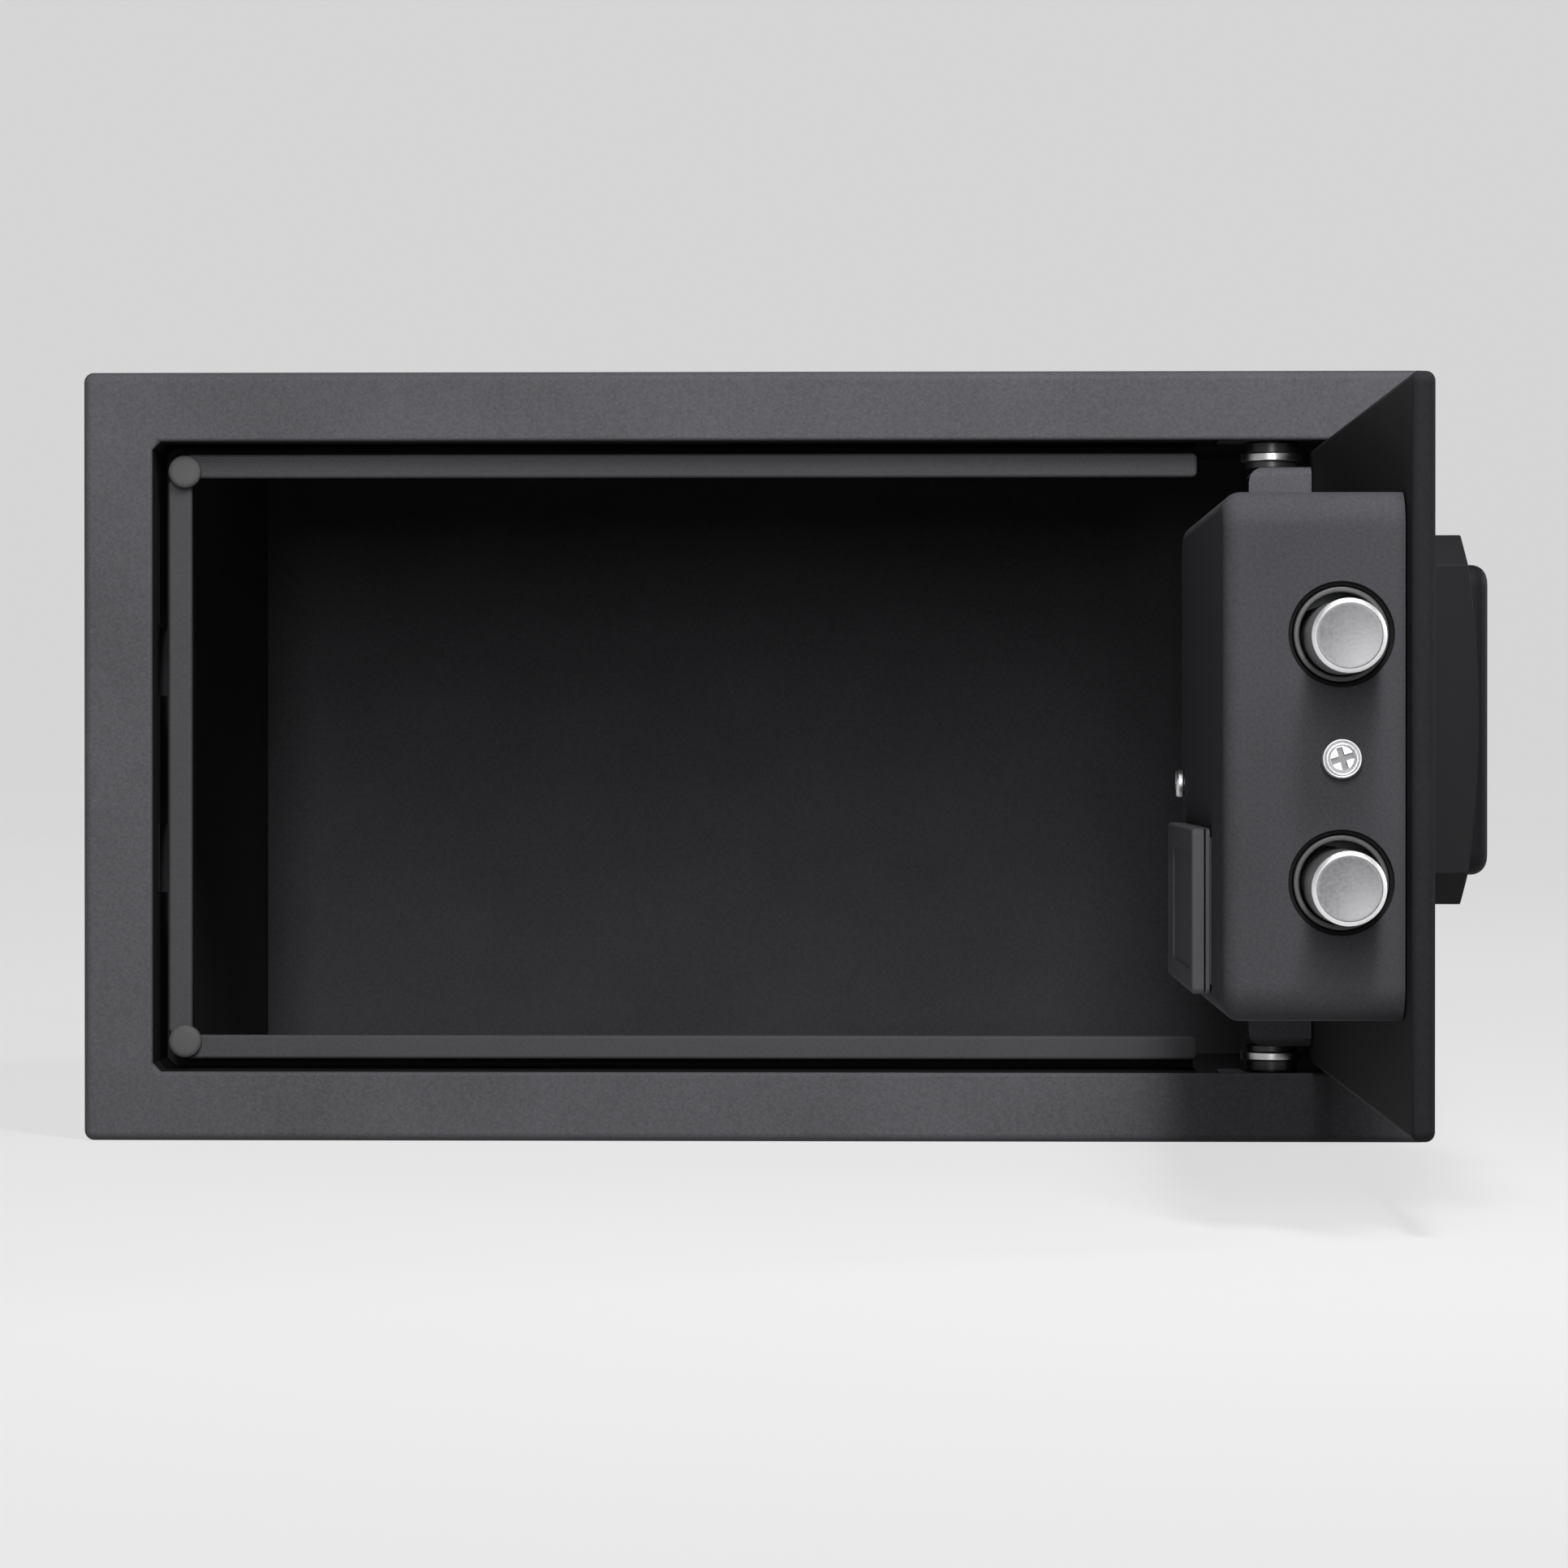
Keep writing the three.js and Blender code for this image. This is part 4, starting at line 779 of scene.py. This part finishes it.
def lock_cover():
    x, y, z = ranges("lock_cover")
    cover = slab("lock_cover", x, y, z, COVER_CORNER, 0, COVER_ROUNDING)
    hollow = slab(
        "hollow",
        inset(x, COVER_SHEET),
        (y[0] - OVERRUN, y[1] - COVER_SHEET),
        inset(z, COVER_SHEET),
        COVER_CORNER - COVER_SHEET,
        0,
        COVER_ROUNDING - COVER_SHEET,
    )
    cut(cover, hollow)
    end_wall = (x[0] - OVERRUN, x[0] + COVER_SHEET + OVERRUN)
    cutters = []
    for name in ("bolt_guide_bush_top", "bolt_guide_bush_bottom"):
        _, bush_y, bush_z = ranges(name)
        cutters.append(rod("hole", "x", (0, middle(bush_y), middle(bush_z)), COVER_HOLE, end_wall))
    _, end_y, end_z = ranges("cover_screw_end")
    cutters.append(rod("hole", "x", (0, middle(end_y), middle(end_z)), SCREW_HOLE, end_wall))
    face = (y[1] - COVER_SHEET - OVERRUN, y[1] + OVERRUN)
    cutters.append(rod("hole", "y", axis_centre("cover_screw_rear"), SCREW_HOLE, face))
    lid_x, _, lid_z = ranges("battery_holder")
    window_x, window_z = inset(lid_x, LID_CORNER / 2), inset(lid_z, LID_CORNER)
    cutters.append(block("window", window_x, face, window_z))
    cut(cover, *cutters)
    # The cover's darker coat is painted shade
    dress(cover, "lock_cover", edge=FINE_EDGE, finishes=(COVER_PAINTED_SHADE,))


def bolts():
    for word in ("top", "bottom"):
        name = "bolt_" + word
        x, y, z = ranges(name)
        radius = (y[1] - y[0]) / 2
        centre = (0, middle(y), middle(z))
        end = x[1] - STUD_LENGTH
        flat = radius - BOLT_CHAMFER
        shares = [step / DISH_STEPS for step in range(DISH_STEPS + 1)]
        profile = [(flat * share, x[0] + BOLT_DISH * (1 - share ** 2)) for share in shares] + [
            (radius, x[0] + BOLT_CHAMFER),
            (radius, end),
            (STUD_RADIUS, end),
            (STUD_RADIUS, x[1]),
            (0, x[1]),
        ]
        # The chamfer faces get a painted highlight
        dress(
            turned(name, profile, "x", centre, edge=BOLT_EDGE),
            name,
            finishes=(FINISHES["chrome_plate"], BOLT_END_FINISH, BOLT_RIM_PAINTED_HIGHLIGHT),
            pick=lambda face: 1 if face.normal.x < -END_ON else 2 * (face.normal.x < -SLANT),
        )
        name = "bolt_guide_bush_" + word
        x, y, z = ranges(name)
        flange = (y[1] - y[0]) / 2
        centre = (0, middle(y), middle(z))
        flange_end = x[1] - GUIDE_TAIL
        shoulder = flange_end - GUIDE_FLANGE
        profile = [
            (GUIDE_BORE, middle(x)),
            (GUIDE_BORE, x[0]),
            (GUIDE_RADIUS, x[0]),
            (GUIDE_RADIUS, shoulder),
            (flange, shoulder),
            (flange, flange_end),
            (GUIDE_RADIUS, flange_end),
            (GUIDE_RADIUS, x[1]),
            (GUIDE_BORE, x[1]),
            (GUIDE_BORE, middle(x)),
        ]
        bush = turned(name, profile, "x", centre, edge=GUIDE_EDGE)
        middle_line = Vector((0, middle(y), middle(z)))
        # The flange faces get painted shade
        dress(
            bush,
            name,
            finishes=(GUIDE_FINISH, FLANGE_PAINTED_SHADE),
            pick=lambda face: (face.center - middle_line).yz.length > GUIDE_RADIUS,
        )


def pan_screw(name, turn):
    """A screw that stands on the origin along Y: a raised rim round a cross recess."""
    z = ranges(name)[2]
    head = (z[1] - z[0]) / 2
    h = max(pair[1] - pair[0] for pair in ranges(name)) - SCREW_LENGTH
    rim = SCREW_RIM / 2
    profile = [
        (0, -SCREW_LENGTH),
        (SCREW_SHANK, -SCREW_LENGTH),
        (SCREW_SHANK, 0),
        (head, 0),
        (head, h * SCREW_SIDE),
        (head - rim, h),
        (head - 2 * rim, h),
        (head - 3 * rim, h * SCREW_DIP),
        (head - 4 * rim, h * SCREW_DIP),
        (head - 5 * rim, h),
        (0, h),
    ]
    screw = turned(name, profile, "y", (0, 0, 0), edge=FINE_EDGE * 2)
    long, thin = CROSS_LENGTH / 2, CROSS_WIDTH / 2
    depth = (h - CROSS_DEPTH, h + OVERRUN)
    cross = block("cross", (-long, long), depth, (-thin, thin))
    joined(cross, block("bar", (-thin, thin), depth, (-long, long)))
    cross.data.transform(Matrix.Rotation(turn, 4, "Y"))
    cut(screw, cross)
    # Faces of the cross recess get painted shade
    low, high = h - CROSS_DEPTH - OVERRUN / 4, h * CROSS_TOP
    for face in screw.data.polygons:
        face.material_index = int(face.center.xz.length < long and low < face.center.y < high)
    return screw


def cover_screws():
    x, y, z = ranges("cover_screw_end")
    screw = pan_screw("cover_screw_end", CROSS_TURN)
    screw.data.transform(Matrix.Rotation(math.pi / 2, 4, "Z"))
    screw.data.transform(Matrix.Translation((x[1] - SCREW_LENGTH, middle(y), middle(z))))
    dress(screw, "cover_screw_end", edge=FINE_EDGE, finishes=(SCREW_FINISH, CROSS_PAINTED_SHADE))
    x, y, z = ranges("cover_screw_rear")
    screw = pan_screw("cover_screw_rear", -CROSS_TURN)
    screw.data.transform(Matrix.Translation((middle(x), y[0] + SCREW_LENGTH, middle(z))))
    dress(screw, "cover_screw_rear", edge=FINE_EDGE, finishes=(SCREW_FINISH, CROSS_PAINTED_SHADE))


# Batteries
def battery_lid():
    x, y, z = ranges("battery_lid")
    lid = slab("battery_lid", x, y, z, LID_CORNER, 0, LID_ROUNDING)
    quarter = (z[1] - z[0]) / 4
    cutters = []
    for i in range(LID_GROOVES):
        at = x[1] - (i + LID_PLAIN_PITCHES) * LID_GROOVE_PITCH
        deep = (y[1] - LID_GROOVE_DEPTH, y[1] + OVERRUN)
        cutters.append(block("groove", (at, at + LID_GROOVE), deep, inset(z, quarter)))
    panel_end = x[1] - (LID_GROOVES + LID_PLAIN_PITCHES + 1) * LID_GROOVE_PITCH
    panel_y = (y[1] - LID_PANEL_DEPTH, y[1] + OVERRUN)
    panel_x = (x[0] + LID_PANEL_INSET, panel_end)
    cutters.append(slab("panel", panel_x, panel_y, inset(z, LID_PANEL_INSET), LID_CORNER))
    dress(cut(lid, *cutters), "battery_lid", edge=FINE_EDGE)


def battery_cells():
    tray_z = middle(ranges("battery_holder")[2])
    for number in range(1, CELL_COUNT + 1):
        name = f"battery_cell_{number}"
        x, y, z = ranges(name)
        radius = (z[1] - z[0]) / 2
        centre = (0, middle(y), middle(z))
        flat, tip = (x[0], x[1]) if middle(z) < tray_z else (x[1], x[0])
        along = 1 if tip > flat else -1
        shoulder = tip - along * CELL_TIP_HEIGHT
        profile = [
            (0, flat),
            (radius, flat),
            (radius, shoulder),
            (CELL_TIP_RADIUS, shoulder),
            (CELL_TIP_RADIUS, tip),
            (0, tip),
        ]
        cell = turned(name, profile, "x", centre, edge=CELL_EDGE)
        dress(
            cell,
            name,
            finishes=(FINISHES["cell_wrap"], CELL_END_FINISH),
            pick=lambda face: abs(face.normal.x) > END_ON,
        )


# Front of the door
def crowned_block(name, x, y, z):
    """A block whose front bulges out by the crown, the same all along X."""
    half = (z[1] - z[0]) / 2
    section = [(y[1], z[0]), (y[1], z[1])]
    for i in range(BEZEL_POINTS + 1):
        height = 1 - 2 * i / BEZEL_POINTS
        section.append((y[0] + BEZEL_CROWN * height ** 2, middle(z) + height * half))
    return loft(name, [[(level, py, pz) for py, pz in section] for level in x])


def rounded_edges(thing, width):
    bevel = thing.modifiers.new("rounding", "BEVEL")
    bevel.width = width
    bevel.segments = ROUND_STEPS
    bevel.limit_method = "ANGLE"
    bevel.angle_limit = SHARP_ANGLE
    settle(thing)
    return thing


def keypad_bezel():
    x, y, z = ranges("keypad_bezel")
    deep = (y[0], y[1] + 2 * OVERRUN)
    bezel = crowned_block("keypad_bezel", x, deep, z)
    outline = cut_corner_rectangle(x, z, BEZEL_CORNER_CUT)
    combined(bezel, [prism("plan", outline, (y[0] - OVERRUN, deep[1] + OVERRUN))], "INTERSECT")
    rounded_edges(bezel, BEZEL_ROUNDING)
    behind = (y[1], deep[1] + OVERRUN)
    hollow_y = (y[0] + BEZEL_CROWN + BEZEL_WALL, y[1] + OVERRUN)
    inner = cut_corner_rectangle(inset(x, BEZEL_WALL), inset(z, BEZEL_WALL), BEZEL_CORNER_CUT)
    through = (y[0] - OVERRUN, y[1] + OVERRUN)
    pod_x, _, pod_z = ranges("keypad_pod")
    window_x, window_z = inset(pod_x, -SEAT_GAP), inset(pod_z, -SEAT_GAP)
    cut(
        bezel,
        block("behind", inset(x, -OVERRUN), behind, inset(z, -OVERRUN)),
        prism("hollow", inner, hollow_y),
        slab("window", window_x, through, window_z, POD_CORNER + SEAT_GAP),
        rod("hole", "y", axis_centre("knob"), SPINDLE_HOLE, through),
        rod("hole", "y", axis_centre("override_cap"), CAP_HOLE, through),
    )
    dress(bezel, "keypad_bezel", edge=FINE_EDGE)


def keypad_pod():
    x, y, z = ranges("keypad_pod")
    pod = slab("keypad_pod", x, y, z, POD_CORNER, POD_ROUNDING, 0)
    hollow_y = (y[0] + POD_WALL, y[1] + OVERRUN)
    inner_corner = POD_CORNER - POD_WALL
    cut(pod, slab("hollow", inset(x, POD_WALL), hollow_y, inset(z, POD_WALL), inner_corner))
    wall = (y[0] - OVERRUN, y[0] + POD_WALL + OVERRUN)
    for number in range(1, len(DIGITS) + 1):
        key_x, _, key_z = ranges(f"key_{number}")
        gap = KEY_FLANGE - SEAT_GAP
        hole = slab("hole", inset(key_x, gap), wall, inset(key_z, gap), KEY_CORNER + SEAT_GAP)
        cut(pod, hole)
    for name in ("led_lens_1", "led_lens_2"):
        cut(pod, rod("hole", "y", axis_centre(name), LENS_HOLE, wall))
    dress(pod, "keypad_pod", edge=FINE_EDGE)


def digit(text, x, y, z):
    """A raised figure on the face at y, seen from the front of the door."""
    curve = bpy.data.curves.new("digit", "FONT")
    curve.body = text
    curve.size = DIGIT_SIZE
    curve.align_x = "CENTER"
    curve.align_y = "CENTER"
    curve.extrude = DIGIT_RELIEF
    curve.resolution_u = DIGIT_STEPS
    letter = bpy.data.objects.new("digit", curve)
    bpy.context.scene.collection.objects.link(letter)
    bpy.context.view_layer.update()
    graph = bpy.context.evaluated_depsgraph_get()
    mesh = bpy.data.meshes.new_from_object(letter.evaluated_get(graph))
    bpy.data.objects.remove(letter)
    mesh.transform(Matrix.Translation((x, y, z)) @ Matrix.Rotation(math.pi / 2, 4, "X"))
    return mesh


def keys():
    for number, text in enumerate(DIGITS, 1):
        name = f"key_{number}"
        x, y, z = ranges(name)
        cap_x, cap_z = inset(x, KEY_FLANGE), inset(z, KEY_FLANGE)
        flange_y = (y[1] - KEY_FLANGE_THICKNESS, y[1])
        cap = slab(name, cap_x, y, cap_z, KEY_CORNER, KEY_ROUNDING, 0)
        joined(cap, slab("flange", x, flange_y, z, KEY_CORNER + KEY_FLANGE))
        bm = bmesh.new()
        bm.from_mesh(cap.data)
        plain = len(bm.faces)
        figure = digit(text, middle(cap_x), y[0], middle(cap_z))
        bm.from_mesh(figure)
        bpy.data.meshes.remove(figure)
        bm.to_mesh(cap.data)
        bm.free()
        dress(
            cap,
            name,
            finishes=(FINISHES["key_plastic"], DIGIT_FINISH),
            pick=lambda face: face.index >= plain,
        )


def lenses():
    for name in ("led_lens_1", "led_lens_2"):
        x, y, _ = ranges(name)
        radius = (x[1] - x[0]) / 2
        dome = radius * LENS_DOME
        profile = [(0, y[0]), (radius - dome, y[0]), (radius, y[0] + dome), (radius, y[1]), (0, y[1])]
        dress(turned(name, profile, "y", axis_centre(name), edge=radius * LENS_EDGE), name)


def knob():
    x, y, _ = ranges("knob")
    radius = (x[1] - x[0]) / 2
    centre = axis_centre("knob")
    disc_y = y[1] - KNOB_DISC_HEIGHT
    profile = [(0, disc_y), (radius, disc_y), (radius, y[1]), (0, y[1])]
    disc = turned("knob", profile, "y", centre, edge=KNOB_ROUNDING)
    half_width, half_length = KNOB_GRIP_WIDTH / 2, KNOB_GRIP_LENGTH / 2
    grip_x = (centre[0] - half_width, centre[0] + half_width)
    grip_z = (centre[2] - half_length, centre[2] + half_length)
    grip_y, corner = (y[0], y[1] - SEAT_GAP), half_width * KNOB_GRIP_END
    joined(disc, slab("grip", grip_x, grip_y, grip_z, corner, KNOB_ROUNDING))
    mark_x = (centre[0] - KNOB_MARK_WIDTH / 2, centre[0] + KNOB_MARK_WIDTH / 2)
    mark_z = (grip_z[1] - KNOB_MARK_LENGTH - KNOB_ROUNDING, grip_z[1] - KNOB_ROUNDING)
    cut(
        disc,
        rod("socket", "y", centre, KNOB_SOCKET, (y[1] - KNOB_SOCKET_DEPTH, y[1] + OVERRUN)),
        block("mark", mark_x, (y[0] - OVERRUN, y[0] + KNOB_MARK_DEPTH), mark_z),
    )
    dress(disc, "knob", edge=FINE_EDGE)


def override_lock():
    name = "override_barrel"
    x, y, _ = ranges(name)
    radius = (x[1] - x[0]) / 2
    profile = [
        (CYLINDER_BORE, y[0]),
        (radius, y[0]),
        (radius, y[1]),
        (CYLINDER_BORE, y[1]),
        (CYLINDER_BORE, y[0]),
    ]
    dress(turned(name, profile, "y", axis_centre(name), edge=SOFT_EDGE), name)
    name = "override_cap"
    x, y, _ = ranges(name)
    radius = (x[1] - x[0]) / 2
    profile = [(0, y[0]), (radius, y[0]), (radius, y[1]), (0, y[1])]
    dress(turned(name, profile, "y", axis_centre(name), edge=SOFT_EDGE * 2), name)


# Pieces whose shape is right get finer edges and a finish
def keep_shape(name, edge=SOFT_EDGE, finishes=()):
    bm = bmesh.new()
    bm.from_mesh(frame["nodes"][name].data)
    bmesh.ops.remove_doubles(bm, verts=bm.verts, dist=MERGE_DISTANCE)
    bmesh.ops.dissolve_limit(bm, angle_limit=FLAT_ANGLE, verts=bm.verts, edges=bm.edges)
    if BODY_OF[name] != "body":
        bmesh.ops.transform(bm, matrix=SHUTTING, verts=bm.verts)
    dress(new_object(name, bm), name, edge=edge, finishes=finishes)


# Room, lamps and camera
def plain_surface(name, colour, glow):
    """A matt surface that the camera and mirror rays see paler than it is lit."""
    material = bpy.data.materials.new(name)
    material.use_nodes = True
    tree = material.node_tree
    shader = tree.nodes["Principled BSDF"]
    shader.inputs["Base Color"].default_value = (*colour, 1)
    shader.inputs["Roughness"].default_value = FLOOR_ROUGHNESS
    shader.inputs["Specular IOR Level"].default_value = FLOOR_SPECULAR
    shader.inputs["Emission Color"].default_value = (1, 1, 1, 1)
    path = node(tree, "ShaderNodeLightPath")
    total = path.outputs["Is Camera Ray"]
    for ray in ("Is Glossy Ray", "Is Transmission Ray"):
        either = node(tree, "ShaderNodeMath", operation="MAXIMUM")
        tree.links.new(total, either.inputs[0])
        tree.links.new(path.outputs[ray], either.inputs[1])
        total = either.outputs[0]
    strength = node(tree, "ShaderNodeMath", operation="MULTIPLY")
    tree.links.new(total, strength.inputs[0])
    strength.inputs[1].default_value = glow
    tree.links.new(strength.outputs[0], shader.inputs["Emission Strength"])
    return material


def room():
    """A floor that sweeps up into a backdrop all round."""
    profile = [(0, 0), (FLOOR_RADIUS, 0)]
    for step in range(1, ROUND_STEPS * 2 + 1):
        angle = math.pi / 2 * step / (ROUND_STEPS * 2)
        out = SWEEP_RADIUS * math.sin(angle)
        profile.append((FLOOR_RADIUS + out, SWEEP_RADIUS * (1 - math.cos(angle))))
    profile.append((FLOOR_RADIUS + SWEEP_RADIUS, SWEEP_HEIGHT))
    floor = turned("floor", profile, "z", (0, 0, 0))
    floor.data.shade_smooth()
    floor.data.materials.append(plain_surface("floor_paint", FLOOR_COLOUR, FLOOR_GLOW))


def lamp(name, place, target, width, height, power):
    light = bpy.data.lights.new(name, "AREA")
    light.shape = "RECTANGLE"
    light.size = width
    light.size_y = height
    light.energy = power
    made = bpy.data.objects.new(name, light)
    made.location = place
    made.rotation_mode = "QUATERNION"
    made.rotation_quaternion = (Vector(target) - Vector(place)).to_track_quat("-Z", "Y")
    made.visible_camera = False
    bpy.context.scene.collection.objects.link(made)


def lamps():
    lamp("key", KEY_PLACE, KEY_TARGET, KEY_WIDTH, KEY_HEIGHT, KEY_POWER)
    lamp("top", TOP_PLACE, TOP_TARGET, TOP_WIDTH, TOP_HEIGHT, TOP_POWER)
    lamp("fill_right", FILL_RIGHT, KEY_TARGET, FILL_SIDE, FILL_SIDE, FILL_RIGHT_POWER)
    lamp("fill_rear", FILL_REAR, KEY_TARGET, FILL_SIDE, FILL_SIDE, FILL_REAR_POWER)
    world = bpy.data.worlds.new("studio")
    world.use_nodes = True
    background = world.node_tree.nodes["Background"]
    background.inputs["Color"].default_value = (1, 1, 1, 1)
    background.inputs["Strength"].default_value = SKY_STRENGTH
    bpy.context.scene.world = world


def camera():
    data = bpy.data.cameras.new("camera")
    data.sensor_width = SENSOR
    data.lens = SENSOR * FOCAL_PIXELS / IMAGE_SIDE
    data.clip_start = CLIP_START
    data.clip_end = CLIP_END
    made = bpy.data.objects.new("camera", data)
    made.location = CAMERA_PLACE
    made.rotation_mode = "QUATERNION"
    made.rotation_quaternion = (CAMERA_TARGET - CAMERA_PLACE).to_track_quat("-Z", "Y")
    bpy.context.scene.collection.objects.link(made)
    bpy.context.scene.camera = made


camera()
body_shell()
stop_strips()
bumpers()
hinges()
door_panel()
lock_cover()
bolts()
cover_screws()
battery_lid()
battery_cells()
keypad_bezel()
keypad_pod()
keys()
lenses()
knob()
override_lock()
# The guide plate is painted shade all over
keep_shape("bolt_guide_plate", finishes=(FLANGE_PAINTED_SHADE,))
for name in frame["nodes"]:
    if name not in REPLACED:
        keep_shape(name)
room()
lamps()

bpy.context.scene.view_settings.view_transform = "Standard"
